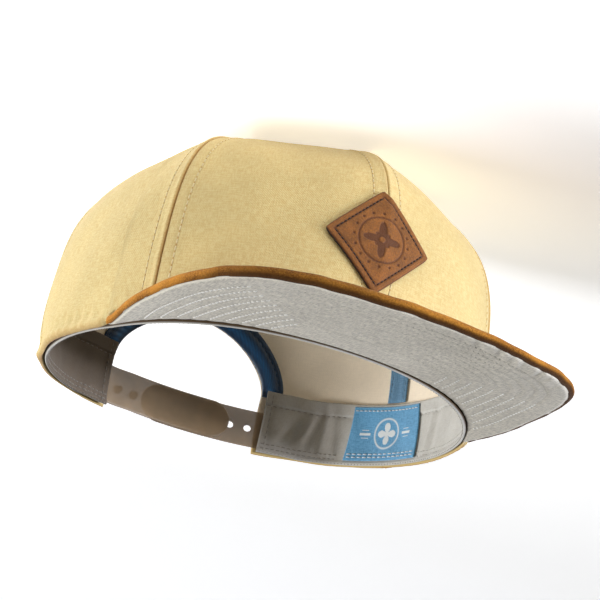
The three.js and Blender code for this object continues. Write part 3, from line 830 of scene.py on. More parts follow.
def cloth_material(name, light, dark, threads=1.7, slub=2.4, relief=0.00012, sheen=0.15,
                   roughness=0.92, marked=None, fleck_range=(0.25, 0.75), shade=0.1, specular=0.2):
    """Woven cloth in two shades of thread. Marks lead to another colour where one is given."""
    material, tree, shader, cloth, marks = start_material(name)
    weave = use(tree, weave_group(), {"Cloth": cloth, "Threads": threads, "Slub": slub})
    mottle = use(tree, mottle_group(), {"Place": cloth, "Broad": 0.035, "Fine": 0.6})
    fleck = ranged(tree, weave["Fleck"], *fleck_range)
    colour = blended(tree, fleck, dark, light)
    broad = ranged(tree, mottle["Broad"], 0.3, 0.7, 1 - shade, 1 + shade * 0.3)
    grey = add(tree, "ShaderNodeCombineColor", {0: broad, 1: broad, 2: broad}).outputs[0]
    colour = blended(tree, 1.0, colour, grey, "MULTIPLY")
    if marked is not None:
        colour = blended(tree, marks, colour, marked)
    height = weighted(tree, weave["Height"], 1.0, mottle["Fine"], 0.8)
    finish_shader(tree, shader, colour, roughness, height, relief, sheen, specular)
    return material


def thread_material(name, colour, sheen=0.2):
    """Twisted sewing thread."""
    material, tree, shader, _, _ = start_material(name)
    twist = noise(tree, add(tree, "ShaderNodeTexCoord").outputs["Object"], 2600.0, 2.0)
    dark = tuple(c * 0.72 for c in colour)
    shade = blended(tree, ranged(tree, twist, 0.35, 0.65), dark, colour)
    finish_shader(tree, shader, shade, 0.7, twist, 0.00008, sheen)
    return material


def suede_material(name, light, dark):
    """Suede: a short nap brushed in patches, with a fine fibrous surface, rubbed pale where marked above 0 and
    given painted shade where marked below 0.
    """
    material, tree, shader, cloth, marks = start_material(name)
    mottle = use(tree, mottle_group(), {"Place": cloth, "Broad": 0.07, "Fine": 1.6})
    fibres = noise(tree, stretched(tree, cloth, (1.0, 0.45, 1.0)), 2.3, 4.0, 0.75)
    brushed = weighted(tree, mottle["Broad"], 0.6, mottle["Fine"], 0.4)
    colour = blended(tree, ranged(tree, brushed, 0.38, 0.6), dark, light)
    pale = tuple(min(1, c * 1.6) for c in light)
    colour = blended(tree, maths(tree, "MULTIPLY", ranged(tree, fibres, 0.46, 0.64), 0.7), colour, pale)
    rubbed = ranged(tree, mottle["Fine"], 0.35, 0.6, 0.3, 1.0)
    worn = maths(tree, "MULTIPLY", ranged(tree, marks, 0.0, 1.0), rubbed)
    colour = blended(tree, worn, colour, pale)
    # Below 0 the marks give painted shade, towards a much darker suede
    lower = maths(tree, "MULTIPLY", ranged(tree, marks, 0.0, -1.0), 0.9)
    colour = blended(tree, lower, colour, tuple(c * 0.3 for c in dark))
    height = maths(tree, "ADD", fibres, mottle["Fine"])
    finish_shader(tree, shader, colour, 0.98, height, 0.0003, 0.06, 0.1)
    return material


def leather_material(name, light, pressed_colour):
    """Buffed leather: pores, soft creases and darker pressed parts."""
    material, tree, shader, cloth, marks = start_material(name)
    mottle = use(tree, mottle_group(), {"Place": cloth, "Broad": 0.16, "Fine": 1.3})
    pores = add(tree, "ShaderNodeTexVoronoi", {"Vector": cloth, "Scale": 2.2}, feature="SMOOTH_F1")
    pore = ranged(tree, pores.outputs["Distance"], 0.0, 0.45)
    tone = weighted(tree, mottle["Broad"], 0.45, mottle["Fine"], 0.55)
    dark = tuple(c * 0.5 for c in light)
    colour = blended(tree, ranged(tree, tone, 0.38, 0.6), dark, light)
    in_pore = maths(tree, "MULTIPLY", maths(tree, "SUBTRACT", 1.0, pore), 0.6)
    colour = blended(tree, in_pore, colour, dark)
    colour = blended(tree, marks, colour, pressed_colour)
    height = maths(tree, "ADD", pore, mottle["Fine"])
    roughness = ranged(tree, mottle["Fine"], 0.3, 0.7, 0.62, 0.84)
    finish_shader(tree, shader, colour, roughness, height, 0.00016, 0.05, 0.35)
    return material


STRAP_ALPHA = 0.78


def strap_material(name, colour):
    """Translucent brown plastic, slightly cloudy."""
    material, tree, shader, cloth, _ = start_material(name)
    mottle = use(tree, mottle_group(), {"Place": cloth, "Broad": 0.08, "Fine": 0.9})
    dark = tuple(c * 0.8 for c in colour)
    shade = blended(tree, ranged(tree, mottle["Broad"], 0.35, 0.65), dark, colour)
    roughness = ranged(tree, mottle["Fine"], 0.3, 0.7, 0.3, 0.46)
    finish_shader(tree, shader, shade, roughness, mottle["Fine"], 0.00004, 0.0, 0.5)
    shader.inputs["Alpha"].default_value = STRAP_ALPHA
    return material


# Crown panels

# Rows up a panel, closer together at the rim, and columns, closer together beside its seams
PANEL_ROW_SHARES = np.concatenate([np.linspace(0, 0.03, 9)[:-1], np.linspace(0.03, 1, 112)])
PANEL_MIDDLE_COLUMNS = 56
PANEL_EVEN_POINTS = 241
SEAM_OFFSETS = np.array([0, 0.25, 0.5, 0.8, 1.2, 1.7, 2.3, 3.1, 4.0, 4.8, 5.4, 5.8, 6.2, 6.7, 7.5, 8.6])
SEAM_SHARE_OF_WIDTH = 0.35

# Each kind of panel, and the numbers of the seams that it lies between, from the front to the back
PANELS = [("front_panel", 0, 1), ("side_panel", 1, 2), ("back_panel", 2, 3)]
BACK_SEAM = 3

# How high the folded edge of a panel stands along a seam: the panel before it and after it
SEAM_LIPS = [(0.2, 0.2), (-0.1, 0.6), (0.45, 0.25), (0.3, 0.3)]
LIP_REACH = (3.4, 0.5)

# How deep the groove of each seam is, and how dark its painted shade, as a share of the deepest
SEAM_GROOVES = [0.25, 0.8, 0.5, 0.6]
GROOVE_EDGE = 0.45
GROOVE_WIDTH = 0.35
GROOVE_SHADE_WIDTH = 0.4

# The cloth lies up over a seam's allowance, which ends about where the topstitching sinks in
ALLOWANCE_END = (-0.3, 2.6)
STITCH_SINK = 0.3
STITCH_SINK_WIDTH = 0.6
STITCHES_ABOVE_RIM = 1.5
# The needle holes are dashes of painted shade: their length and how far they sink
NEEDLE_SHADE_DASH = 1.0
NEEDLE_SHADE_SINK = 0.08
REST_UNSEWN = 0.7

# The hem at the rim stands out, hangs a little below it and is turned in behind it
HEM_PUFF = 1.1
HEM_PUFF_HEIGHT = 1.6
HEM_DROP = 0.9
HEM_DROP_REACH = 2.5
HEM_ROUNDING = 0.7
HEM_ROUNDING_REACH = 1.1
HEM_LINE = 0.22
HEM_LINE_HEIGHT = 6.2
HEM_LINE_WIDTH = 0.7
HEM_TURNED_IN = (6.6, 6)
# Painted shade along the hem's lower edge behind the bill: how much, and over what height
HEM_SHADE = 0.4
HEM_SHADE_REACH = (2.4, 0.2)
HEM_BLEND_ANGLE = 3
INNER_SPARE = 0.12

# Soft waves of a panel, clear of its seams
DRIFT_FROM_SEAM = (3, 14)
DRIFT_LENGTHS = (26, 60)
DRIFT_INSIDE = 0.6
PATCH_CLEARANCE = 7

# Small gathers above the rim, at the sides, where the cloth is eased on to the band
GATHER_ANGLE = 84
GATHER_SPREAD = 16
GATHER_HEIGHT = 4.5
GATHER_REACH = 4
GATHER_LENGTH = 6.8
GATHER_DRIFT = 11
GATHER_FROM_SEAM = 6

# A soft dent on the wearer's right, where the cap was pressed beside its back seam
DENT_SEAM = 2
DENT_DEPTH = 1.5
DENT_SPREAD = 16
DENT_HEIGHT = 40
DENT_REACH = 20

# The row of stitches round the arch, as shares of it on each side
ARCH_STITCH_DISTANCE = 7.0
ARCH_STITCH_SHARES = {-1: (0.02, 0.5), 1: (0.5, 0.98)}
ARCH_STITCH_POINTS = 90
ARCH_STITCH_LIFT = 0.05
ARCH_EDGE_POINTS = 1600


def panel_places(first, last, side):
    """The angle and rise of each point of a panel, closer together beside the seams."""
    a = SEAM_ANGLES[first] * side
    b = SEAM_ANGLES[last] * side
    even = np.linspace(0, 1, PANEL_EVEN_POINTS)
    angles = mix(a, b, even)
    lows = rise_at_height(angles, crown_edge_height(angles))
    highs = rise_at_radius(angles, PANEL_HOLE_RADIUS)
    v = PANEL_ROW_SHARES[:, None]
    rough = crown(angles[None], rise_between(lows[None], highs[None], v))
    width = lengths_along(rough)[:, -1:]
    squeeze = np.minimum(1, SEAM_SHARE_OF_WIDTH * width / SEAM_OFFSETS[-1])
    near = SEAM_OFFSETS * squeeze
    inner = np.linspace(0, 1, PANEL_MIDDLE_COLUMNS + 2)[1:-1]
    middle = mix(near[:, -1:], width - near[:, -1:], inner)
    u = np.concatenate([near, middle, (width - near)[:, ::-1]], 1) / width
    angle = mix(a, b, u)
    low = np.interp(u, even, lows)
    high = np.interp(u, even, highs)
    return angle, rise_between(low, high, v), squeeze


def seam_relief(distance, lip, squeeze, groove, relief, margin):
    """How far the cloth stands out beside a seam: its folded edge, allowance, stitches and groove."""
    allowance_end = margin + ALLOWANCE_END[0], margin + ALLOWANCE_END[1]
    shape = (
        lip * smooth(*LIP_REACH, distance)
        + relief.allowance * (1 - smooth(*allowance_end, distance))
        - STITCH_SINK * hump(distance - margin, STITCH_SINK_WIDTH)
    )
    sunk = groove * relief.groove * hump(distance, GROOVE_WIDTH)
    return squeeze * (shape * smooth(0, GROOVE_EDGE, distance) - sunk)


def near_patch(points):
    """1 under the leather patch, falling to 0 a little past it."""
    reach = np.abs(points[..., 0]) + np.abs(points[..., 2] - PATCH_CENTRE_Z)
    ahead = points[..., 1] < 0
    return ahead * (1 - smooth(PATCH_HALF_DIAGONAL, PATCH_HALF_DIAGONAL + PATCH_CLEARANCE, reach))


def rim_gathers(angle, edge, along):
    where = hump(np.abs(angle) - GATHER_ANGLE, GATHER_SPREAD) * hump(edge - GATHER_HEIGHT, GATHER_REACH)
    return where * np.sin(2 * np.pi * along / GATHER_LENGTH + 0.9 * np.sin(along / GATHER_DRIFT))


def side_dent(angle, edge, side):
    beside_seam = hump(np.abs(angle) - SEAM_ANGLES[DENT_SEAM], DENT_SPREAD)
    return DENT_DEPTH * (side < 0) * beside_seam * hump(edge - DENT_HEIGHT, DENT_REACH)


def unsewn(points):
    """Where no stitch shows: in the arched opening, and where the crown rests on the floor."""
    return in_arch(points) | (points @ REST_NORMAL > REST_DEPTH - REST_UNSEWN)


def fit_to_arch(angle, rise, side):
    """Moves the points of a back panel's grid at the arch on to its edge, and says which cells stay."""
    base = crown(angle, rise)
    inside = in_arch(base)
    kept = ~np.all([inside[corner] for corner in CELL_CORNERS], axis=0)
    used = np.zeros(angle.shape, bool)
    for corner in CELL_CORNERS:
        used[corner] |= kept
    moved = used & inside
    line = sample(np.linspace(0, 1, ARCH_EDGE_POINTS), np.linspace(0, 1, len(ARCH_LINE)), ARCH_LINE)
    line = line[np.sign(line[:, 0]) == side]
    spots = base[moved][:, [0, 2]]
    nearest = line[np.argmin(np.linalg.norm(spots[:, None] - line[None], axis=-1), 1)]
    angle[moved] = back_angle(nearest[:, 0], nearest[:, 1])
    rise[moved] = rise_at_height(angle[moved], nearest[:, 1])
    return kept


def hemmed(base, normal, sewn, drift, edge, behind):
    """The outer and the inner face of a panel's cloth, with its hem."""
    puff = HEM_PUFF * behind * hump(edge - HEM_PUFF_HEIGHT, HEM_PUFF_HEIGHT)
    rounding = HEM_ROUNDING * (1 - np.minimum(1, edge / HEM_ROUNDING_REACH)) ** 2
    hem_line = HEM_LINE * hump(edge - HEM_LINE_HEIGHT, HEM_LINE_WIDTH) * behind
    outer = pressed(base + normal * (sewn + drift + puff - rounding - hem_line)[..., None])
    inner = base + normal * (DRIFT_INSIDE * drift - CLOTH + rounding - INNER_SPARE)[..., None]
    inner = inner - REST_NORMAL * np.maximum(0, inner @ REST_NORMAL - REST_DEPTH + CLOTH)[..., None]
    drop = HEM_DROP * behind * (1 - smooth(0, HEM_DROP_REACH, edge))
    outer[..., 2] -= drop
    inner[..., 2] -= drop
    return outer, inner


def topstitch(pile, across, edge, squeeze, outer, normal, stitching):
    """Stitches beside both seams of a panel, with the needle holes between them as dashes of painted shade."""
    wanted = stitching.seam_margin * squeeze[:, 0]
    rows = np.flatnonzero((squeeze[:, 0] > 0.5) & (edge[:, 0] > STITCHES_ABOVE_RIM))
    for distance, order in ((across, slice(None)), (across[:, -1:] - across, slice(None, None, -1))):
        path, up = [
            np.stack([sample(wanted[r], distance[r][order], grid[r][order]) for r in rows])
            for grid in (outer, normal)
        ]
        pile.dashes(path, up, stitching.pitch, stitching.dash, stitching.thread, 2, unless=unsewn)
        pile.dashes(path, up, stitching.pitch, NEEDLE_SHADE_DASH, stitching.thread, 3, unless=unsewn,
                    sink=NEEDLE_SHADE_SINK, phase=0.5)


def topstitch_arch(pile, side, stitching):
    """One side of the row of stitches that holds the arch's binding."""
    share = np.linspace(*ARCH_STITCH_SHARES[side], ARCH_STITCH_POINTS)
    away = arch_offset(share, ARCH_STITCH_DISTANCE)
    turn = back_angle(away[:, 0], away[:, 1])
    turn = np.where(np.abs(turn) >= BACK_ANGLE, BACK_ANGLE * side, turn)
    rise = rise_at_height(turn, away[:, 1])
    up = crown_normal(turn, rise)
    path = crown(turn, rise) + up * ARCH_STITCH_LIFT
    pile.dashes(path, up, stitching.pitch, stitching.dash, stitching.thread, 2)


def dress_panel(name, first, last, side, scene, finishes):
    """One crown panel: both faces of its cloth, its seam edges, hem and topstitching."""
    relief = scene.cap_relief
    stitching = scene.cap_stitching
    angle, rise, squeeze = panel_places(first, last, side)
    kept = fit_to_arch(angle, rise, side) if last == BACK_SEAM else None
    base = crown(angle, rise)
    normal = crown_normal(angle, rise)
    across = lengths_along(base)
    to_last = across[:, -1:] - across
    edge = lengths_along(np.swapaxes(base, 0, 1)).T
    grooves = SEAM_GROOVES[first], SEAM_GROOVES[last]
    margin = stitching.seam_margin
    sewn = seam_relief(across, SEAM_LIPS[first][1], squeeze, grooves[0], relief, margin)
    sewn = sewn + seam_relief(to_last, SEAM_LIPS[last][0], squeeze, grooves[1], relief, margin)
    clear = smooth(*DRIFT_FROM_SEAM, across) * smooth(*DRIFT_FROM_SEAM, to_last) * (1 - near_patch(base))
    from_middle = across - across[:, -1:] / 2
    seed = 11 * first + (5 if side > 0 else 0)
    drift = relief.drift * clear * waves(from_middle, edge, *DRIFT_LENGTHS, seed)
    drift = drift + relief.pucker * rim_gathers(angle, edge, across) * smooth(0, GATHER_FROM_SEAM, across)
    drift = drift - side_dent(angle, edge, side)
    behind = smooth(PEAK_HALF_ANGLE, PEAK_HALF_ANGLE + HEM_BLEND_ANGLE, np.abs(angle))
    outer, inner = hemmed(base, normal, sewn, drift, edge, behind)
    # Painted shade down the seams' grooves and along the hem
    shade = grooves[0] * hump(across, GROOVE_SHADE_WIDTH) + grooves[1] * hump(to_last, GROOVE_SHADE_WIDTH)
    shade = squeeze * shade + HEM_SHADE * behind * smooth(*HEM_SHADE_REACH, edge)
    turned_in = behind * smooth(*HEM_TURNED_IN, edge)
    pile = Pile()
    cloth = np.stack([from_middle, edge], -1)
    pile.shell(outer, inner, kept, (0, 1, 0), cloth, np.clip(shade, 0, 1), turned_in)
    topstitch(pile, across, edge, squeeze, outer, normal, stitching)
    if last == BACK_SEAM:
        topstitch_arch(pile, side, stitching)
    pile.piece(name, finishes, "crown_cloth")


def dress_crown(scene):
    """The six panels of the crown."""
    colours = scene.cap_colours
    outside = cloth_material("Crown cloth", colours.crown, colours.crown_slub, threads=1.9,
                             slub=3.0, relief=0.00014, marked=colours.crown_painted_shade)
    inside = cloth_material("Crown inside", colours.lining, tuple(c * 0.9 for c in colours.lining),
                            slub=1.2, relief=0.00005, marked=colours.crown_slub)
    thread = thread_material("Crown thread", colours.crown_thread)
    hole = thread_material("Needle holes", colours.needle_hole_shade)
    for kind, first, last in PANELS:
        for word, side in (("left", 1), ("right", -1)):
            dress_panel(f"{kind}_{word}", first, last, side, scene, [outside, inside, thread, hole])


BUTTON_SIDES = 72
BUTTON_PLEATS = 12
PLEAT_DEPTH = 0.02
PLEATS_ABOVE = 0.2
DISC_ROUNDING = 0.4


def dress_button(scene):
    """The covered button: gathered cloth over a disc, its stem, and the disc inside."""
    colours = scene.cap_colours
    cloth = cloth_material("Button cloth", colours.crown, colours.crown_slub)
    foot = BILL_GAP
    top = foot + BUTTON_HEIGHT
    disc = CLOTH + LAYER_GAP
    round_top = [
        (BUTTON_RADIUS * math.cos(t), mix(foot, top, 0.3) + 0.68 * BUTTON_HEIGHT * math.sin(t))
        for t in np.linspace(0, math.pi / 2, 14)
    ]
    profile = [
        (0, -disc - BACK_DISC_THICKNESS),
        (BACK_DISC_RADIUS - DISC_ROUNDING, -disc - BACK_DISC_THICKNESS),
        (BACK_DISC_RADIUS, -disc - BACK_DISC_THICKNESS / 2),
        (BACK_DISC_RADIUS - DISC_ROUNDING, -disc),
        (STEM_RADIUS, -disc),
        (STEM_RADIUS, foot),
        (BUTTON_RADIUS - 2 * DISC_ROUNDING, foot),
        (BUTTON_RADIUS - DISC_ROUNDING / 2, mix(foot, top, 0.12)),
        *round_top,
    ]

    def pleated(turn, radius, height):
        return 1 - PLEAT_DEPTH * (height > PLEATS_ABOVE) * (1 - np.cos(BUTTON_PLEATS * turn))

    pile = Pile()
    pile.turned(profile, BUTTON_SIDES, np.array([0, TOP_Y, CROWN_HEIGHT]), (0, 0, 1), pleat=pleated)
    pile.piece("crown_button", [cloth], "crown_cloth")


# Bill

# Places along the bill's outline are shares of it, from the wearer's right to the left. Its span in mm
# is about its length, and spreads the grain of the suede
OUTLINE_STEPS = 120
OUTLINE_SPAN = 300
PEAK_COLUMNS = 380
PEAK_DEPTH_ROWS = 34
PEAK_ROLL_STEPS = 18
PEAK_ROLL_RADIUS = 2.35
PEAK_ROLL_LOW = 0.2

# The rows under the board: how far in past the roll, as shares, and how high, as shares of its foot
PEAK_UNDER_SHARES = np.array([0.012, 0.03, 0.3, 0.65, 1])
PEAK_UNDER_RISES = np.array([0.6, 1, 1, 1, 1])

# The far tip and the near wing reach a little further out than in the frame
FAR_TIP_REACH = 2.9
FAR_TIP_STARTS = (0.685, 0.75)
FAR_TIP_EASES = (0.77, 0.9)
FAR_TIP_EASED = 0.4
NEAR_WING_REACH = 1.4
NEAR_WING_SHARE = 0.18
NEAR_WING_SPREAD = 0.08

# The board thins towards its outline, though hardly round one share of it, and its edge waves a little
EDGE_TAPER = 1.2
EDGE_TAPER_REACH = 11
FULL_EDGE_SHARE = 0.4
FULL_EDGE_SPREAD = 0.16
EDGE_WAVE = 0.18
EDGE_WAVE_LENGTHS = (9, 24)
EDGE_WAVE_REACH = 4
EDGE_WAVE_SEED = 31

# The nap is rubbed pale along the edge of the near wing. From where the edge turns the suede carries painted
# shade, deeper still between these turns and the middle of the front
RUBBED = 0.6
RUBBED_REACH = 1.3
SHADE_TURNS_IN = (0.18, 0.3)
EXTRA_SHADE_UNTIL = (0.5, 0.4)
SHADE_BEFORE_TURN = 0.1
EXTRA_SHADE = 0.5

# Rows of stitches: the first one's distance from the outline, and where they stop short of the crown
BILL_STITCH_ROWS = 9
BILL_FIRST_ROW = 10.5
BILL_ROW_PITCH = 4.7
BILL_ROW_POINTS = 900
BILL_ROW_SINK = 0.16
BILL_ROW_WIDTH = 0.8
ROW_FROM_CROWN = 1.6
ROW_HALF_WIDTH = 88
ROW_SLACK = 0.12
SUEDE_STITCH_SINK = 0.1
WING_TURN = 0.8
WING_END_Y = -113
BILL_THREAD = 0.34
FRONT_THREAD = 0.2
FRONT_DASH = 0.9
FAR_DASH_SHARE = 0.66

# The cloth under the bill: its rows, its inset from the outline, and its puff between the stitches
UNDERBILL_ROWS = 88
UNDERBILL_INSET = 2.0
UNDERBILL_PUFF = 0.2
UNDERBILL_INSIDE = 1.4
UNDERBILL_DENT_WIDTH = 0.9
UNDERBILL_TUCK = 0.5
UNDERBILL_TUCK_REACH = 1.3
CROWN_TUCK = 0.35
SELVEDGE_WIDTH = 0.6
SELVEDGE_PALE = 0.8

# Slanting gathers at its outer edge, strongest on the far wing: the length of each wave in mm, and its start
FOLD_WAVES = [(5.9, 0.3), (8.3, 1.9), (12.7, 4.0)]
FOLD_LEAN = 0.9
FOLDS_START = (0.5, 0.58)
FOLDS_END = (0.71, 0.66)
FOLD_MIDDLE = 3.0
FOLD_REACH = 4.2
FOLD_HEIGHT = 0.6
FOLDS_ALL_ROUND = 0.1
FOLDS_FAR_WING = 0.5


def bill_curve():
    """The outline of the bill from the wearer's right to the left, evenly spaced."""
    corner = rim(PEAK_HALF_ANGLE) - rim_inward(PEAK_HALF_ANGLE) * PEAK_CORNER_REACH
    left = [corner[:2], *[np.array(p, float) for p in PEAK_OUTLINE]]
    points = [p * [-1, 1] for p in left[:-1]] + left[::-1]
    points = [2 * points[0] - points[1], *points, 2 * points[-1] - points[-2]]
    line = []
    for p0, p1, p2, p3 in zip(points, points[1:], points[2:], points[3:]):
        d0, d1, d2 = [math.sqrt(np.linalg.norm(b - a)) for a, b in ((p0, p1), (p1, p2), (p2, p3))]
        m1 = ((p1 - p0) / d0 - (p2 - p0) / (d0 + d1) + (p2 - p1) / d1) * d1
        m2 = ((p2 - p1) / d1 - (p3 - p1) / (d1 + d2) + (p3 - p2) / d2) * d1
        t = np.linspace(0, 1, OUTLINE_STEPS)[:-1, None]
        line.append((2 * t**3 - 3 * t**2 + 1) * p1 + (t**3 - 2 * t**2 + t) * m1
                    + (3 * t**2 - 2 * t**3) * p2 + (t**3 - t**2) * m2)
    line = np.concatenate([*line, points[-2][None]])
    along = lengths_along(line)
    share = along / along[-1]
    eased = mix(1, FAR_TIP_EASED, smooth(*FAR_TIP_EASES, share))
    line[:, 0] += FAR_TIP_REACH * smooth(*FAR_TIP_STARTS, share) * eased
    line[:, 0] -= NEAR_WING_REACH * hump(share - NEAR_WING_SHARE, NEAR_WING_SPREAD)
    return lambda share: sample(share * along[-1], along, line)


def bill_lines(columns, inside=PEAK_INSIDE):
    """The inner and the outer end of each line across the bill, in plan."""
    share = np.linspace(0, 1, columns)
    angle = mix(-PEAK_HALF_ANGLE, PEAK_HALF_ANGLE, share)
    inner = (rim(angle) + rim_inward(angle) * inside)[:, :2]
    return inner, bill_curve()(share), share


def suede_wear_and_shade(share, inset, rise, on_roll, edge_high):
    """How far the nap is rubbed pale, above 0, or carries painted shade, below 0: past the near wing, deeper
    still on part of the front, and on the lower half of the roll.
    """
    half = (edge_high - PEAK_ROLL_LOW) / 2
    turned = smooth(*SHADE_TURNS_IN, share)
    # The weight of the painted shade along the outline, low on the near wing
    nap = mix(SHADE_BEFORE_TURN, 1, turned)[:, None]
    dark = EXTRA_SHADE * (turned * smooth(*EXTRA_SHADE_UNTIL, share))[:, None]
    shaded = on_roll * smooth(edge_high - 0.9 * half, PEAK_ROLL_LOW + 0.3 * half, rise)
    return RUBBED * hump(inset, RUBBED_REACH) * (1 - nap) - nap * (dark + (1 - dark) * shaded)


def peak_section(share, length):
    """Each line's way over the top, round the edge and back under: inset, rise and the edge's height."""
    low = UNDERBILL_THICKNESS + BILL_GAP
    high = low + PEAK_THICKNESS
    radius = np.minimum(PEAK_ROLL_RADIUS, 0.8 * length)
    taper = EDGE_TAPER * (1 - 0.9 * hump(share - FULL_EDGE_SHARE, FULL_EDGE_SPREAD))[:, None]
    edge_high = high - taper
    half = (edge_high - PEAK_ROLL_LOW) / 2
    turn = np.linspace(math.pi / 2, -math.pi / 2, PEAK_ROLL_STEPS)
    top_inset = length - (length - radius) * np.linspace(0, 1, PEAK_DEPTH_ROWS)[:-1]
    roll_inset = radius - radius * np.cos(turn)
    under_inset = radius + (length - radius) * PEAK_UNDER_SHARES
    inset = np.concatenate([top_inset, roll_inset, under_inset], 1)
    rise = np.concatenate([
        high - taper * smooth(EDGE_TAPER_REACH, PEAK_ROLL_RADIUS, top_inset),
        edge_high - half + half * np.sin(turn),
        np.broadcast_to(PEAK_UNDER_RISES * low, under_inset.shape),
    ], 1)
    return inset, rise, edge_high


def dress_peak(scene):
    """The bill's board, covered with suede that rolls round its outer edge."""
    colours = scene.cap_colours
    stitching = scene.cap_stitching
    suede = suede_material("Suede", colours.suede, colours.suede_dark)
    thread = thread_material("Suede thread", colours.suede_thread)
    inner, outer, share = bill_lines(PEAK_COLUMNS)
    length = np.linalg.norm(outer - inner, axis=-1, keepdims=True)
    inset, rise, edge_high = peak_section(share, length)
    on_top = np.arange(inset.shape[1])[None] < PEAK_DEPTH_ROWS - 1
    plan = outer[:, None] + ((inner - outer) / length)[:, None] * inset[..., None]
    outline = share[:, None] * OUTLINE_SPAN + 0 * inset
    edge_wave = waves(outline, 0 * inset, *EDGE_WAVE_LENGTHS, EDGE_WAVE_SEED) * hump(inset, EDGE_WAVE_REACH)
    row_insets = BILL_FIRST_ROW + np.arange(BILL_STITCH_ROWS) * BILL_ROW_PITCH
    rows = sum(hump(inset - row_inset, BILL_ROW_WIDTH) for row_inset in row_insets)
    level = bill_height(plan[..., 0], plan[..., 1])
    z = level + rise + EDGE_WAVE * edge_wave - BILL_ROW_SINK * on_top * rows
    over = np.cumsum(np.abs(np.diff(inset, axis=1, prepend=0)), 1)
    # Marks of wear, above 0, and of painted shade, below 0
    worn = suede_wear_and_shade(share, inset, rise, ~on_top, edge_high)
    pile = Pile()
    pile.loft(at_height(plan, z), 0, np.stack([outline, over, z], -1), worn)
    for path in bill_rows():
        height = bill_height(path[:, 0], path[:, 1]) + UNDERBILL_THICKNESS + BILL_GAP + PEAK_THICKNESS
        up = np.tile([0, 0, 1.0], (len(path), 1))
        pile.dashes(at_height(path, height), up, stitching.pitch, stitching.dash, stitching.thread, 1,
                    sink=SUEDE_STITCH_SINK)
    pile.piece("peak", [suede, thread], "bill_suede")


def outline_normal(line):
    along = np.gradient(line, axis=0)
    return unit(np.stack([-along[:, 1], along[:, 0]], -1))


def bill_rows():
    """Rows of stitches parallel to the bill's outline, each ending short of the crown."""
    line = bill_curve()(np.linspace(0, 1, BILL_ROW_POINTS))
    inward = outline_normal(line)
    front = rim(np.linspace(-90, 90, 361))
    for k in range(BILL_STITCH_ROWS):
        inset = BILL_FIRST_ROW + k * BILL_ROW_PITCH
        row = line + inward * inset
        limit = np.interp(row[:, 0], front[:, 0], front[:, 1])
        clear = outline_distance(row)[0] > inset - ROW_SLACK
        yield row[clear & (row[:, 1] < limit - ROW_FROM_CROWN) & (np.abs(row[:, 0]) < ROW_HALF_WIDTH)]


def wings_and_front(row):
    """A row cut where it turns from the bill's wings, along Y, to its front, along X."""
    ahead = unit(np.gradient(row, axis=0))
    wing = (np.abs(ahead[:, 1]) > WING_TURN) & ((row[:, 0] < 0) | (row[:, 1] > WING_END_Y))
    cuts = np.flatnonzero(np.diff(wing.astype(int))) + 1
    for part in np.split(np.arange(len(row)), cuts):
        if len(part) > 3:
            yield row[part], bool(wing[part[0]])


OUTLINE_POINTS = 500
POINTS_AT_A_TIME = 4000


def outline_distance(points):
    """The distance in plan from the bill's outline, and how far along the outline its nearest point is."""
    line = bill_curve()(np.linspace(0, 1, OUTLINE_POINTS))
    along = lengths_along(line)
    flat = points.reshape(-1, 2)
    nearest = np.empty(len(flat), int)
    for start in range(0, len(flat), POINTS_AT_A_TIME):
        some = slice(start, start + POINTS_AT_A_TIME)
        nearest[some] = np.argmin(((flat[some, None] - line[None]) ** 2).sum(-1), 1)
    distance = np.linalg.norm(flat - line[nearest], axis=-1)
    return distance.reshape(points.shape[:-1]), along[nearest].reshape(points.shape[:-1])


def underbill_puff(distance):
    """The cloth's puff between its rows of stitches, and the dents of the first and the last row."""
    last_row = BILL_STITCH_ROWS - 1
    row_share = (distance - BILL_FIRST_ROW) / BILL_ROW_PITCH
    between = UNDERBILL_PUFF * np.abs(np.sin(np.pi * row_share)) ** 0.7
    dents = sum(
        hump(distance - BILL_FIRST_ROW - row * BILL_ROW_PITCH, UNDERBILL_DENT_WIDTH) for row in (0, last_row)
    )
    return np.where((row_share > 0) & (row_share < last_row), between, UNDERBILL_PUFF * (1 - dents))


def underbill_gathers(share, distance, along):
    """Slanting gathers at the outer edge, strongest on the far wing."""
    far_wing = smooth(*FOLDS_START, share) * smooth(*FOLDS_END, share)
    strength = (FOLDS_ALL_ROUND + FOLDS_FAR_WING * far_wing)[:, None]
    slant = along - FOLD_LEAN * distance
    folds = sum(np.sin(2 * np.pi * slant / length + start) for length, start in FOLD_WAVES)
    return strength * FOLD_HEIGHT * folds * hump(distance - UNDERBILL_INSET - FOLD_MIDDLE, FOLD_REACH)


def stitch_underbill(pile, stitching):
    """Long white stitches on the bill's wings, and short grey ones on its front."""
    for row in bill_rows():
        for path, wing in wings_and_front(row):
            height = bill_height(path[:, 0], path[:, 1])
            points = at_height(path, height)
            down = np.tile([0, 0, -1.0], (len(path), 1))
            dash = stitching.bill_dash * (FAR_DASH_SHARE if path[0, 0] > 0 else 1)
            kind = (dash, BILL_THREAD, 1) if wing else (FRONT_DASH, FRONT_THREAD, 2)
            pile.dashes(points, down, stitching.bill_pitch, *kind)


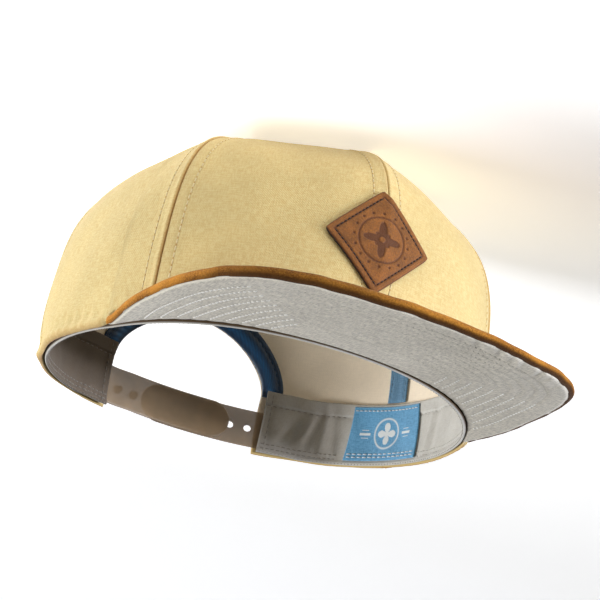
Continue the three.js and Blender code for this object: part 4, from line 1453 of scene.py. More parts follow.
def dress_underbill(scene):
    """Grey cloth under the bill, sewn in rows, with slanting gathers at its outer edge."""
    colours = scene.cap_colours
    pale = tuple(min(1, c * 1.25) for c in colours.underbill)
    weave = cloth_material("Underbill cloth", colours.underbill, colours.underbill_slub,
                           threads=1.8, slub=3.0, marked=pale, relief=0.00014)
    white = thread_material("Bill thread", colours.bill_thread)
    grey = thread_material("Front thread", colours.front_thread)
    inner, outer, share = bill_lines(PEAK_COLUMNS, UNDERBILL_INSIDE)
    length = np.linalg.norm(outer - inner, axis=-1, keepdims=True)
    inset = np.minimum(UNDERBILL_INSET, 0.65 * length)
    steps = np.concatenate([np.linspace(0, 0.03, 7)[:-1], np.linspace(0.03, 1, UNDERBILL_ROWS) ** 0.9])
    plan = inner[:, None] + ((outer - inner) * (1 - inset / length))[:, None] * steps[None, :, None]
    distance, along = outline_distance(plan)
    base = bill_height(plan[..., 0], plan[..., 1])
    gathers = scene.cap_relief.bill_pucker * underbill_gathers(share, distance, along)
    tuck = UNDERBILL_TUCK * smooth(UNDERBILL_INSET + UNDERBILL_TUCK_REACH, UNDERBILL_INSET, distance)
    tuck = tuck + CROWN_TUCK * smooth(1.0, 0, np.linalg.norm(plan - inner[:, None], axis=-1))
    lower = base - underbill_puff(distance) - gathers + tuck
    upper = base + UNDERBILL_THICKNESS
    selvedge = SELVEDGE_PALE * hump(distance - UNDERBILL_INSET - SELVEDGE_WIDTH / 2, SELVEDGE_WIDTH)
    pile = Pile()
    pile.shell(at_height(plan, upper), at_height(plan, lower), cloth=plan, marks=selvedge)
    stitch_underbill(pile, scene.cap_stitching)
    pile.piece("underbill", [weave, white, grey], "underbill_cloth")


# Sweatband and label

BAND_COLUMNS = 460
BAND_DEPTH = CLOTH + LAYER_GAP
BAND_TOP_HEM = 6
BAND_HEM_LINE = BAND_HEIGHT - BAND_TOP_HEM
BAND_END_HEM = 4
BAND_HEIGHT_MIDDLE = 15
ROLL_LIP = 0.6

# Rows up the band, closer together at its lip and its hem
BAND_ROWS = np.concatenate([
    np.linspace(-ROLL_LIP, 1.6, 10),
    np.linspace(2.2, BAND_HEM_LINE - 1.6, 14),
    np.linspace(BAND_HEM_LINE - 1.1, BAND_HEM_LINE + 1.1, 9),
    np.linspace(BAND_HEM_LINE + 1.8, BAND_HEIGHT - 0.8, 6),
    np.linspace(BAND_HEIGHT - 0.5, BAND_HEIGHT, 4),
])

# Rows of stitches along the band: height and pitch. Past these angles the thread takes the band's painted
# shade
BAND_STITCHES = [(1.9, 2.6), (4.0, 2.6), (BAND_HEM_LINE - 0.9, 3.0)]
BAND_DASH = 1.9
LIGHT_THREAD_ANGLES = (-106, 128)
END_STITCH_INSET = 3.1
END_STITCH_PITCH = 3.0
END_STITCH_DASH = 2.0

# Small dark ticks along the lip
LIP_HEIGHT = -0.15
LIP_PITCH = 1.9
LIP_DASH = 0.55
LIP_THREAD = 0.22

# Thread of the smaller pieces, as a share of the crown's
FINE_THREAD = 0.9

# The band's relief: soft waves, gathers at the lip, the hems at its top and ends, and its rolled lip
BAND_SOFT = 0.22
BAND_SOFT_LENGTHS = (14, 40)
BAND_SOFT_SEED = 41
BAND_GATHER_SHARE = 0.6
BAND_GATHER_LENGTH = 3.4
BAND_GATHER_HEIGHT = 2.6
BAND_GATHER_REACH = 1.3
BAND_HEM_STEP = 0.4
BAND_HEM_BLEND = 0.3
END_HEM_STEP = 0.35
END_HEM_BLEND = 0.4
LIP_ROLL = 0.3
LIP_ROLL_WAVE = 0.12
LIP_ROLL_HEIGHT = 0.2
LIP_ROLL_REACH = 0.8
STITCH_DENT = 0.25
STITCH_DENT_WIDTH = 0.5
LABEL_BLEND = 3
UNDER_LABEL = 0.45

# The band carries painted shade towards its ends: how much, and between which angles, on each side
SHADED_LEFT = 0.42
SHADED_LEFT_ANGLES = (124, 134)
SHADED_RIGHT = 0.85
SHADED_RIGHT_ANGLES = (92, 116)
SHADED_THREAD = 0.35

# Folds of the sweatband: angle, half width and lean in degrees, and height in mm
BAND_FOLDS = [
    (145.0, 1.6, -0.12, 0.9),
    (141.2, 1.1, -0.12, -0.7),
    (138.6, 1.5, -0.05, 1.1),
    (135.2, 1.2, 0.0, -0.8),
    (131.8, 1.6, 0.02, 0.6),
    (95.5, 0.9, 0.0, 0.5),
    (93.0, 1.1, 0.01, -0.6),
    (89.5, 1.6, -0.02, 0.6),
    (84.5, 1.5, -0.02, -0.4),
    (-128.0, 2.4, 0.05, 0.5),
    (-141.0, 1.6, -0.06, 0.6),
    (20.0, 2.6, 0.03, 0.5),
    (-35.0, 3.0, -0.04, 0.5),
]


def stand_off(angle):
    return TUCK_DEPTH * smooth(TUCK_ANGLE - TUCK_BLEND, TUCK_ANGLE, np.abs(angle))


def band_points(angle, height, depth):
    return wall(angle, rim(angle)[..., 2] + height, depth + stand_off(angle))


def band_folds(angle, height):
    """The folds of the table, which fade towards both edges of the band."""
    fade = smooth(-1, 9, height) * smooth(BAND_HEIGHT + 3, BAND_HEIGHT - 8, height)
    folds = sum(
        tall * hump(angle - middle - lean * (height - BAND_HEIGHT_MIDDLE) * 3, width)
        for middle, width, lean, tall in BAND_FOLDS
    )
    return folds * fade


def band_depths(angle, height, along, relief):
    """How far the band's face and its back stand in from the crown."""
    from_end = np.minimum(along, along[-1:] - along)
    soft = BAND_SOFT * waves(along, height * 1.5, *BAND_SOFT_LENGTHS, BAND_SOFT_SEED) * smooth(0, 6, height)
    gather = relief.pucker * BAND_GATHER_SHARE * np.sin(2 * np.pi * along / BAND_GATHER_LENGTH)
    gather = gather * hump(height - BAND_GATHER_HEIGHT, BAND_GATHER_REACH)
    hem = BAND_HEM_STEP * smooth(-BAND_HEM_BLEND, BAND_HEM_BLEND, height - BAND_HEM_LINE)
    end_hem = END_HEM_STEP * (1 - smooth(-END_HEM_BLEND, END_HEM_BLEND, from_end - BAND_END_HEM))
    roll = LIP_ROLL + LIP_ROLL_WAVE * np.sin(2 * np.pi * along / LIP_PITCH)
    roll = roll * hump(height - LIP_ROLL_HEIGHT, LIP_ROLL_REACH)
    dents = STITCH_DENT * sum(hump(height - BAND_STITCHES[row][0], STITCH_DENT_WIDTH) for row in (0, -1))
    label_start, label_end = LABEL_ANGLES
    label = smooth(-LABEL_BLEND, 0, angle - label_start) * smooth(LABEL_BLEND, 0, angle - label_end)
    loose = (band_folds(angle, height) + soft + gather) * (1 - label)
    ends = np.minimum(1, (height + ROLL_LIP) / 0.9)
    tops = np.minimum(1, (BAND_HEIGHT - height) / 0.7)
    taper = (1 - ends) ** 2 * 0.5 + (1 - tops) ** 2 * 0.45
    face = BAND_DEPTH + BAND_THICKNESS + loose + hem + end_hem + roll - dents - taper
    face = np.where(label > 0.5, np.minimum(face, BAND_DEPTH + BAND_THICKNESS + UNDER_LABEL), face)
    return face, BAND_DEPTH + taper + 0.9 * np.maximum(0, loose)


def stitch_band(pile, points, angle, along, stitching):
    """Ticks along the lip, rows along the band and a row across each end."""
    inward = rim_inward(angle)
    thread = stitching.thread * FINE_THREAD
    lip = row_at(LIP_HEIGHT, points)
    pile.dashes(lip, 0.6 * inward + [0, 0, -0.8], LIP_PITCH, LIP_DASH, LIP_THREAD, 2)
    first, last = LIGHT_THREAD_ANGLES
    for level, pitch in BAND_STITCHES:
        path = row_at(level, points)
        for finish, part in ((1, (angle >= first) & (angle <= last)), (2, angle > last), (2, angle < first)):
            pile.dashes(path[part], inward[part], pitch, BAND_DASH, thread, finish)
    from_end = np.minimum(along, along[-1] - along)
    for end in (1, -1):
        column = np.argmin(np.abs(from_end - END_STITCH_INSET) + (angle * end < 0) * 1e3)
        up = np.tile(inward[column], (points.shape[1], 1))
        pile.dashes(points[column], up, END_STITCH_PITCH, END_STITCH_DASH, thread, 2, sink=-0.05)


def row_at(level, points):
    """The line along the band's face at a height."""
    return np.stack([sample(level, BAND_ROWS, column) for column in points])


def dress_sweatband(scene):
    """The sweatband: twill with a rolled lower edge, a top hem, end hems and a few folds."""
    colours = scene.cap_colours
    twill = cloth_material("Band twill", colours.band, colours.band_slub, threads=2.4,
                           slub=1.4, relief=0.00006, marked=colours.band_painted_shade)
    thread = thread_material("Band thread", colours.band_thread)
    # Thread in the band's painted shade
    in_shade = tuple(mix(c, d, SHADED_THREAD) for c, d in zip(colours.band_painted_shade, colours.band))
    shade = thread_material("Band edge thread", in_shade)
    angle = np.linspace(-BAND_END_ANGLE, BAND_END_ANGLE, BAND_COLUMNS)[:, None]
    angle, height = np.broadcast_arrays(angle, BAND_ROWS[None, :])
    base = band_points(angle, height, np.full(angle.shape, BAND_DEPTH + BAND_THICKNESS))
    along = lengths_along(np.swapaxes(base, 0, 1)).T
    front, back = [
        band_points(angle, height, depth) for depth in band_depths(angle, height, along, scene.cap_relief)
    ]
    # Painted shade towards both ends of the band's face, and over its back face above the lip
    shaded_ends = (SHADED_LEFT * smooth(*SHADED_LEFT_ANGLES, angle)
                   + SHADED_RIGHT * smooth(*SHADED_RIGHT_ANGLES, -angle))
    pile = Pile()
    pile.shell(front, back, cloth=np.stack([along, height], -1), marks=shaded_ends,
               inner_marks=smooth(-0.5, 0, height))
    stitch_band(pile, front, angle[:, 0], along[:, 0], scene.cap_stitching)
    pile.piece("sweatband", [twill, thread, shade], "band_cloth")


LABEL_SKEW = 3.5
LABEL_COLUMNS = 140
LABEL_ROWS = 90

# Rows of stitches on the label: height, pitch and dash
LABEL_STITCHES = [(26.9, 2.4, 1.7), (3.1, 3.2, 2.3), (4.7, 3.2, 2.3)]

LABEL_SOFT = 0.18
LABEL_SOFT_LENGTHS = (12, 30)
LABEL_SOFT_SEED = 51
LABEL_ROUNDING = 0.25
LABEL_ROUNDING_REACH = 0.6
LABEL_STITCH_LIFT = 0.12
MOTIF_HEIGHT = 0.08
MOTIF_WHITE = 0.9

# The motif's ring, petals and bars
MOTIF_RING = 7.6
MOTIF_LINE = 0.45
MOTIF_PETAL = 5.6
MOTIF_BAR_PLACE = 13.5


def label_motif(across, up):
    """A plain woven motif: a ring round four petals, between short bars."""
    radius = np.hypot(across, up)
    turn = np.arctan2(up, across)
    from_bars = np.abs(np.abs(across) - MOTIF_BAR_PLACE)
    ring = hump(radius - MOTIF_RING, MOTIF_LINE)
    petals = (radius < MOTIF_PETAL * np.abs(np.cos(2 * turn)) ** 0.7) * 1.0
    bars = (from_bars < 3.2) * (np.abs(up) < 0.6)
    fine = (from_bars < 2.0) * (np.abs(np.abs(up) - 2.0) < 0.3)
    return np.clip(ring + petals + bars + fine, 0, 1)


def dress_label(scene):
    """The woven label: satin, sewn on along its top and twice along its lower edge."""
    colours = scene.cap_colours
    satin = cloth_material("Label satin", colours.label, colours.label_slub, threads=2.4,
                           relief=0.00006, sheen=0.35, roughness=0.55, marked=colours.label_motif)
    thread = thread_material("Label thread", colours.label_motif)
    low, top = LABEL_HEIGHTS
    start, end = LABEL_ANGLES
    angle = np.linspace(start, end, LABEL_COLUMNS)[:, None]
    height = np.linspace(low, top, LABEL_ROWS)[None, :]
    angle, height = np.broadcast_arrays(angle, height)
    angle = angle + LABEL_SKEW * (height - low) / (top - low) * ((end - angle) / (end - start))
    depth = BAND_DEPTH + BAND_THICKNESS + LAYER_GAP
    base = band_points(angle, height, np.full(angle.shape, depth))
    along = lengths_along(np.swapaxes(base, 0, 1)).T
    across = along - along[-1:] / 2
    motif = label_motif(across, height - (low + top) / 2)
    from_end = np.minimum(height - low, top - height)
    edge = np.minimum(along[-1:] / 2 - np.abs(across), from_end)
    soft = LABEL_SOFT * waves(across, height, *LABEL_SOFT_LENGTHS, LABEL_SOFT_SEED) * smooth(0, 4, edge)
    rounding = LABEL_ROUNDING * (1 - np.minimum(1, edge / LABEL_ROUNDING_REACH)) ** 2
    face = band_points(angle, height, depth + LABEL_THICKNESS + soft + MOTIF_HEIGHT * motif - rounding)
    pile = Pile()
    pile.shell(face, base, cloth=np.stack([across, height], -1), marks=motif * MOTIF_WHITE)
    inward = rim_inward(angle[:, 0])
    for level, pitch, dash in LABEL_STITCHES:
        turn = np.array([sample(level, height[i], angle[i][:, None])[0] for i in range(len(angle))])
        above = np.full(len(turn), depth + LABEL_THICKNESS + LABEL_STITCH_LIFT)
        path = band_points(turn, np.full(len(turn), level), above)
        pile.dashes(path, inward, pitch, dash, scene.cap_stitching.thread * FINE_THREAD, 1, sink=-0.05)
    pile.piece("woven_label", [satin, thread], "label_cloth")


# Seam tapes and the arch's binding

TAPE_ROWS = 130
TAPE_COLUMNS = 25
TAPE_STITCH_SHARE = 0.74
TAPE_PITCH = 3.2
TAPE_DASH = 2.2
TAPE_PAD = 0.25
TAPE_ROUNDING = 0.25
TAPE_SOFT = 0.15
TAPE_SOFT_LENGTHS = (8, 22)


def dress_tape(name, seam_angle, low_z, scene, finishes):
    """A tape over a seam: slightly padded along its edges, with a row of stitches on each."""
    stitching = scene.cap_stitching
    v = np.linspace(0, 1, TAPE_ROWS)
    low = rise_at_height(np.array(float(seam_angle)), low_z)
    top = rise_at_radius(np.array(float(seam_angle)), TAPE_TOP_RADIUS)
    rise = rise_between(low, top, v)
    half = np.minimum(TAPE_HALF_WIDTH, from_top(crown(seam_angle, rise)) * TAPE_NARROWING)
    share = np.linspace(-1, 1, TAPE_COLUMNS)
    offset = half[:, None] * share
    rises = rise[:, None] + 0 * offset
    angle = angle_across(float(seam_angle), offset, rises)
    along = lengths_along(crown(seam_angle, rise))[:, None] + 0 * offset
    round_edge = (1 - np.minimum(1, (1 - np.abs(share)) * half[:, None] / 0.7)) ** 2
    row = half[:, None] * TAPE_STITCH_SHARE
    pad = TAPE_PAD * hump(np.abs(offset) - 3.0, 1.4) - 0.2 * hump(np.abs(offset) - row, 0.5)
    soft = TAPE_SOFT * waves(offset, along, *TAPE_SOFT_LENGTHS, int(abs(seam_angle)))
    depth = CLOTH + LAYER_GAP
    outer = inside_crown(angle, rises, depth + TAPE_ROUNDING * round_edge)
    inner = inside_crown(angle, rises, depth + TAPE_THICKNESS + pad + soft - TAPE_ROUNDING * round_edge)
    pile = Pile()
    pile.shell(outer, inner, cloth=np.stack([offset, along], -1))
    up = -crown_normal(angle, rises)
    for side in (-TAPE_STITCH_SHARE, TAPE_STITCH_SHARE):
        path = np.stack([sample(side, share, inner[i]) for i in range(TAPE_ROWS)])
        normal = np.stack([sample(side, share, up[i]) for i in range(TAPE_ROWS)])
        pile.dashes(path, normal, TAPE_PITCH, TAPE_DASH, stitching.thread * FINE_THREAD, 1)
    pile.piece(name, finishes, "tape_cloth")


def dress_tapes(scene):
    """The tapes over the six seams, from above the band or the arch to the button."""
    colours = scene.cap_colours
    finishes = [
        cloth_material("Tape cotton", colours.tape, colours.tape_slub, threads=1.8),
        thread_material("Tape thread", colours.tape_thread),
    ]
    above_band = BAND_HEIGHT + 2 * LAYER_GAP
    for word, side in (("left", 1), ("right", -1)):
        for end, seam in (("front", 1), ("back", 2)):
            angle = SEAM_ANGLES[seam] * side
            low = rim(angle)[2] + above_band
            dress_tape(f"seam_tape_{end}_{word}", angle, low, scene, finishes)
    dress_tape("seam_tape_front", 0, rim(0.0)[2] + above_band, scene, finishes)
    above_arch = ARCH_BASE + ARCH_HEIGHT + BINDING_WIDTH + 3 * LAYER_GAP
    dress_tape("seam_tape_back", BACK_ANGLE, above_arch, scene, finishes)


BINDING_PAD = 1.1
BINDING_FOOT = 31.2
BINDING_COLUMNS = 260
BINDING_ROWS = 22
BINDING_STITCH_ROW = 17
BINDING_STITCH_SHARE = 0.8
BINDING_STITCH_DENT = 7.6
BINDING_ROUNDING = 0.3
BINDING_GATHER = 0.16
BINDING_GATHER_LENGTH = 3.1


def dress_binding(scene):
    """The satin binding inside the arch: padded, gathered round the bend, with one row of stitches."""
    colours = scene.cap_colours
    satin = cloth_material("Binding satin", colours.binding, colours.binding_sheen, threads=2.2,
                           sheen=0.2, roughness=0.4, relief=0.00005, specular=0.5,
                           marked=colours.binding_painted_highlight)
    thread = thread_material("Binding thread", colours.binding_sheen)
    start = float(solve(np.array(0.0), np.array(0.5), lambda s: arch_point(s)[..., 1] > BINDING_FOOT))
    share = np.linspace(start, 1 - start, BINDING_COLUMNS)[:, None]
    across = np.linspace(0, 1, BINDING_ROWS)[None, :]
    share, across = np.broadcast_arrays(share, across)
    from_arch = across * BINDING_WIDTH
    spots = arch_offset(share, BINDING_REVEAL + from_arch)
    z = np.maximum(BINDING_FOOT, spots[..., 1])
    angle = back_angle(spots[..., 0], z)
    rise = rise_at_height(angle, z)
    along = lengths_along(np.swapaxes(inside_crown(angle, rise, 2.0), 0, 1)).T
    ripple = 2 * np.pi / BINDING_GATHER_LENGTH
    gathers = BINDING_GATHER * np.sin(ripple * (along + 2 * across)) * hump(from_arch - 6.5, 3.2)
    pad = BINDING_PAD * np.sin(np.pi * across) ** 0.8 - 0.4 * hump(from_arch - BINDING_STITCH_DENT, 0.7)
    behind_band = smooth(BINDING_LOW + 1.5, BINDING_LOW - 1, z)
    raised = (pad + gathers) * (1 - behind_band)
    edge = np.minimum(across, 1 - across) * BINDING_WIDTH
    rounding = BINDING_ROUNDING * (1 - np.minimum(1, edge / 0.8)) ** 2
    depth = CLOTH + LAYER_GAP
    outer = inside_crown(angle, rise, depth + rounding)
    inner = inside_crown(angle, rise, depth + BINDING_THICKNESS + raised - rounding)
    # A painted highlight across the binding's padded middle, rippling along its gathers
    painted_highlight = np.sin(np.pi * np.clip(across * 1.25, 0, 1)) ** 3 * (0.75 + 0.25 * np.sin(ripple * along))
    pile = Pile()
    pile.shell(outer, inner, cloth=np.stack([along, from_arch], -1), marks=painted_highlight)
    path = np.stack([sample(BINDING_STITCH_SHARE, across[0], column) for column in inner])
    up = -crown_normal(angle[:, BINDING_STITCH_ROW], rise[:, BINDING_STITCH_ROW])
    pile.dashes(path, up, TAPE_PITCH, TAPE_DASH, scene.cap_stitching.thread * FINE_THREAD, 1)
    pile.piece("arch_binding", [satin, thread], "tape_cloth")


# Leather patch

PATCH_CELLS = 139
PATCH_BORDER = 2.6

# How the patch is sewn on: turned, and moved across and down from the middle of the front seam
PATCH_TURN = math.radians(-1.6)
PATCH_SHIFT = -1.8
PATCH_DROP = 1.3

# Lines of the pressed design, and the burnt edge's bevel
BORDER_LINE = 0.42
RING_RADIUS = 9.3
RING_LINE = 0.4
STAR_RADII = (1.4, 6.2, 2.4)
HEART_RADIUS = 1.2
DOT_COUNT = 16
DOT_CIRCLE = 11.2
PRESSED_DEPTH = 0.34
PATCH_BEVEL = 0.55
PATCH_BEVEL_REACH = 0.9
PATCH_PITCH = 1.9
PATCH_DASH = 1.5
PATCH_SOFT = 0.12
PATCH_SOFT_LENGTHS = (9, 26)
PATCH_SOFT_SEED = 61
PATCH_STITCH_SINK = 0.3

# The patch bulges a little over the front seam, and is burnt where it is pressed and at its edge
SEAM_BULGE = 0.22
SEAM_BULGE_WIDTH = 2.6
PRESSED_BURN = 0.85
EDGE_BURN_WIDTH = 0.35


def patch_marks(along, across, from_edge):
    """Where the leather is pressed: a border line, and a compass star in a ring of dots."""
    radius = np.hypot(along, across)
    turn = np.arctan2(across, along)
    border = hump(from_edge - PATCH_BORDER, BORDER_LINE)
    ring = hump(radius - RING_RADIUS, RING_LINE)
    middle, arm, small_arm = STAR_RADII
    reach = middle + arm * np.abs(np.cos(2 * turn)) ** 3 + small_arm * np.abs(np.sin(2 * turn)) ** 5
    star = smooth(0.25, -0.25, radius - reach)
    heart = smooth(-0.2, 0.2, radius - HEART_RADIUS)
    sector = 2 * np.pi / DOT_COUNT
    nearest = np.round(turn / sector) * sector
    spots = np.hypot(along - DOT_CIRCLE * np.cos(nearest), across - DOT_CIRCLE * np.sin(nearest))
    dots = smooth(0.75, 0.35, spots)
    return np.clip(border + ring + star * heart + dots, 0, 1)


def as_sewn(along, across):
    """Places on the patch, as lengths up the front seam and across it."""
    c = math.cos(PATCH_TURN)
    s = math.sin(PATCH_TURN)
    return along * c - across * s - PATCH_DROP, along * s + across * c + PATCH_SHIFT


def patch_places(up, aside):
    """The angle and rise of places so far up the front seam from the patch's middle and aside of it."""
    seam_rise = np.linspace(0.01, 0.95, 600)
    seam_length = lengths_along(crown(0.0, seam_rise))
    centre_rise = rise_at_height(np.array(0.0), PATCH_CENTRE_Z)
    seam_length = seam_length - np.interp(centre_rise, seam_rise, seam_length)
    rise = np.interp(up, seam_length, seam_rise)
    return angle_across(0.0, aside, rise), rise


def stitch_patch(pile, stitching):
    """One stitched line along each side of the patch."""
    thread = stitching.thread * FINE_THREAD
    corner = PATCH_HALF_DIAGONAL - PATCH_BORDER * math.sqrt(2)
    square = np.array([(corner, 0), (0, corner), (-corner, 0), (0, -corner), (corner, 0)])
    for a, b in zip(square, square[1:]):
        line = mix(a, b, np.linspace(0.01, 0.99, 60)[:, None])
        angle, rise = patch_places(*as_sewn(line[:, 0], line[:, 1]))
        path = inside_crown(angle, rise, np.full(len(angle), PATCH_STITCH_SINK - LAYER_GAP - PATCH_THICKNESS))
        pile.dashes(path, crown_normal(angle, rise), PATCH_PITCH, PATCH_DASH, thread, 2)


def dress_patch(scene):
    """The leather patch, standing on its corner: pressed lines, a soft face and a burnt edge."""
    colours = scene.cap_colours
    face_finish = leather_material("Patch leather", colours.leather, colours.leather_pressed)
    edge_finish = leather_material("Patch edge", colours.leather_edge, colours.leather_edge)
    thread = thread_material("Patch thread", colours.leather_edge)
    lines = np.linspace(-1, 1, PATCH_CELLS)
    p, q = np.meshgrid(lines, lines, indexing="ij")
    rounded_corners = 1 - 0.03 * np.abs(p * q) ** 12
    along = (p + q) / 2 * PATCH_HALF_DIAGONAL * rounded_corners
    across = (p - q) / 2 * PATCH_HALF_DIAGONAL * rounded_corners
    from_edge = (1 - np.maximum(np.abs(p), np.abs(q))) * PATCH_HALF_DIAGONAL / math.sqrt(2)
    marks = patch_marks(along, across, from_edge)
    up, aside = as_sewn(along, across)
    angle, rise = patch_places(up, aside)
    soft = PATCH_SOFT * waves(up, aside, *PATCH_SOFT_LENGTHS, PATCH_SOFT_SEED)
    soft = soft + SEAM_BULGE * hump(aside, SEAM_BULGE_WIDTH)
    bevel = PATCH_BEVEL * (1 - np.minimum(1, from_edge / PATCH_BEVEL_REACH)) ** 2
    lift = LAYER_GAP + PATCH_THICKNESS + soft - PRESSED_DEPTH * marks - bevel
    burnt = np.clip(marks * PRESSED_BURN + hump(from_edge, EDGE_BURN_WIDTH), 0, 1)
    face, back = [inside_crown(angle, rise, -height) for height in (lift, LAYER_GAP + 0 * lift)]
    pile = Pile()
    pile.shell(face, back, finishes=(0, 1, 1), cloth=np.stack([along, across], -1), marks=burnt)
    stitch_patch(pile, scene.cap_stitching)
    pile.piece("leather_patch", [face_finish, edge_finish, thread], "patch_leather")


# Closure

STRAP_STEPS = 90
STRAP_ROWS = np.sin(np.linspace(-1, 1, 17) * np.pi / 2)
STRAP_EDGE_RADIUS = 0.6
STRAP_EDGE_THINNEST = 0.25
PUNCH_REACH = 3
HOLE_SIDES = 32
PEG_SIDES = 28
PEG_SUNK = 0.6
PEG_HEAD_FLAT = 0.2


def strap_points(x, z, depth):
    low = np.full(np.shape(x), 90.0)
    turn = solve(low, low + 90, lambda angle: rim(angle)[..., 0] < np.abs(x))
    return wall(np.where(x < 0, -turn, turn), z, depth)


def inner_step(x):
    return STRAP_STEP * smooth(STRAP_STEP_FROM, STRAP_STEP_TO, x)


def strap_rings(holder_x, end_x, extra):
    """Rings round a strap from its holder to its rounded end, its long edges rounded."""
    t = np.linspace(0, 1, STRAP_STEPS)
    x = mix(holder_x, end_x, 1 - (1 - t) ** 1.5)
    radius = STRAP_WIDTH / 2
    from_end = np.minimum(1, np.abs(end_x - x) / radius)
    half = radius * np.maximum(0.05, np.sqrt(1 - (1 - from_end) ** 2))
    ring = np.concatenate([STRAP_ROWS, STRAP_ROWS[::-1]])
    from_edge = (1 - np.abs(STRAP_ROWS)) * radius / STRAP_EDGE_RADIUS
    rounding = np.sqrt(np.maximum(0, 1 - (np.minimum(2, from_edge) - 1) ** 2))
    rounding = np.where(from_edge > 1, 1, np.maximum(STRAP_EDGE_THINNEST, rounding))
    thick = STRAP_THICKNESS / 2 * np.concatenate([-rounding, rounding[::-1]])
    xs = x[:, None] + 0 * ring
    z = STRAP_MIDDLE + half[:, None] * ring
    depth = STRAP_DEPTH + STRAP_THICKNESS / 2 + thick + extra(xs)
    return strap_points(xs, z, depth)


def strap_frame(x, depth):
    """The outer face of a strap at a place along it, and the way out from it."""
    at = [strap_points(np.array(x + dx), np.array(STRAP_MIDDLE + dz), np.array(depth))
          for dx, dz in ((0, 0), (1, 0), (-1, 0), (0, 1), (0, -1))]
    return at[0], unit(np.cross(at[3] - at[4], at[1] - at[2]))


def punch_holes(strap):
    """Cuts the row of round holes in a strap."""
    punch = Pile()
    for k in range(HOLE_COUNT):
        foot, outward = strap_frame(FIRST_HOLE_X - k * HOLE_PITCH, STRAP_DEPTH)
        punch.turned([(HOLE_RADIUS, -PUNCH_REACH), (HOLE_RADIUS, PUNCH_REACH)], HOLE_SIDES, foot, outward)
    mesh = bpy.data.meshes.new("hole_cutter")
    mesh.from_pydata(place(np.concatenate(punch.points)).tolist(), [], punch.faces)
    cutter = bpy.data.objects.new("hole_cutter", mesh)
    bpy.context.scene.collection.objects.link(cutter)
    cut = strap.modifiers.new("holes", "BOOLEAN")
    cut.operation = "DIFFERENCE"
    cut.solver = "EXACT"
    cut.object = cutter
    bpy.context.view_layer.update()
    done = strap.evaluated_get(bpy.context.evaluated_depsgraph_get())
    punched = bpy.data.meshes.new_from_object(done)
    strap.modifiers.remove(cut)
    strap.data = punched
    bpy.data.objects.remove(cutter)


def add_pegs(pile):
    """The row of pegs with round heads, standing through the holes."""
    stem = STRAP_STEP + BILL_GAP
    dome_height = PEG_HEAD_HEIGHT - PEG_HEAD_FLAT
    head = [
        (PEG_HEAD_RADIUS * math.cos(t), stem + PEG_HEAD_FLAT + dome_height * math.sin(t))
        for t in np.linspace(0, math.pi / 2, 8)
    ]
    profile = [(PEG_RADIUS, -PEG_SUNK), (PEG_RADIUS, stem), (PEG_HEAD_RADIUS, stem), *head]
    for k in range(PEG_COUNT):
        x = FIRST_PEG_X - k * HOLE_PITCH
        foot, outward = strap_frame(x, STRAP_DEPTH + inner_step(x))
        pile.turned(profile, PEG_SIDES, foot, outward)


def dress_straps(scene):
    """The snap closure: one strap with holes over one with pegs."""
    plastic = strap_material("Strap plastic", scene.cap_colours.strap)
    outer_strap = Pile()
    outer_strap.loft(strap_rings(STRAP_HOLDER_X, STRAP_OUTER_END, lambda x: 0 * x))
    punch_holes(outer_strap.piece("strap_with_holes", [plastic], "strap_plastic"))
    inner_strap = Pile()
    inner_strap.loft(strap_rings(-STRAP_HOLDER_X, STRAP_INNER_END, inner_step))
    add_pegs(inner_strap)
    inner_strap.piece("strap_with_pegs", [plastic], "strap_plastic")


# Stage

FLOOR_ROUGHNESS = 0.9
FLOOR_DROP = 0.0002
SWEEP_BACK = 1.7
SWEEP_RADIUS = 0.8
FLOOR_REACH = 3.0
CLIP_START = 0.01

# The softboxes: the way to each from the cap, how far off and how large in metres, and its colour
COOL_LIGHT = (0.96, 0.99, 1.08)
WHITE_LIGHT = (1, 1, 1)
SOFTBOXES = {
    "key": {"towards": (-0.93, -0.37, -0.016), "distance": 1.7, "size": (1.3, 0.05), "colour": COOL_LIGHT},
    "front": {"towards": (-0.62, -0.78, -0.016), "distance": 1.7, "size": (1.2, 0.05), "colour": COOL_LIGHT},
    "side": {"towards": (0.79, 0.35, 0.6), "distance": 1.6, "size": (0.9, 0.9), "colour": WHITE_LIGHT},
}


def floor_material(name, colour, glow):
    """The floor: matt paper with the faintest grain."""
    material = bpy.data.materials.new(name)
    material.use_nodes = True
    tree = material.node_tree
    grain = noise(tree, add(tree, "ShaderNodeTexCoord").outputs["Object"], 60.0, 3.0)
    put(tree, tree.nodes["Principled BSDF"], {
        "Base Color": blended(tree, grain, tuple(c * 0.985 for c in colour), colour),
        "Roughness": FLOOR_ROUGHNESS,
        "Specular IOR Level": 0.1,
        "Emission Color": (1, 1, 1, 1),
        "Emission Strength": glow,
    })
    return material


def dress_floor(scene):
    """A pale floor that sweeps up behind the cap."""
    bend = np.linspace(0, math.pi / 2, 24)
    wall_y = SWEEP_BACK + SWEEP_RADIUS
    y = np.concatenate([[-FLOOR_REACH, 0], SWEEP_BACK + SWEEP_RADIUS * np.sin(bend), [wall_y]])
    z = np.concatenate([[0, 0], SWEEP_RADIUS * (1 - np.cos(bend)), [FLOOR_REACH]])
    points = [(x, py, pz - FLOOR_DROP) for x in (-FLOOR_REACH, FLOOR_REACH) for py, pz in zip(y, z)]
    n = len(y)
    mesh = bpy.data.meshes.new("floor")
    mesh.from_pydata(points, [], [(k, k + 1, n + k + 1, n + k) for k in range(n - 1)])
    mesh.materials.append(floor_material("Floor paper", scene.cap_stage.floor, scene.cap_stage.glow))
    mesh.polygons.foreach_set("use_smooth", [True] * (n - 1))
    floor = bpy.data.objects.new("floor", mesh)
    scene.collection.objects.link(floor)


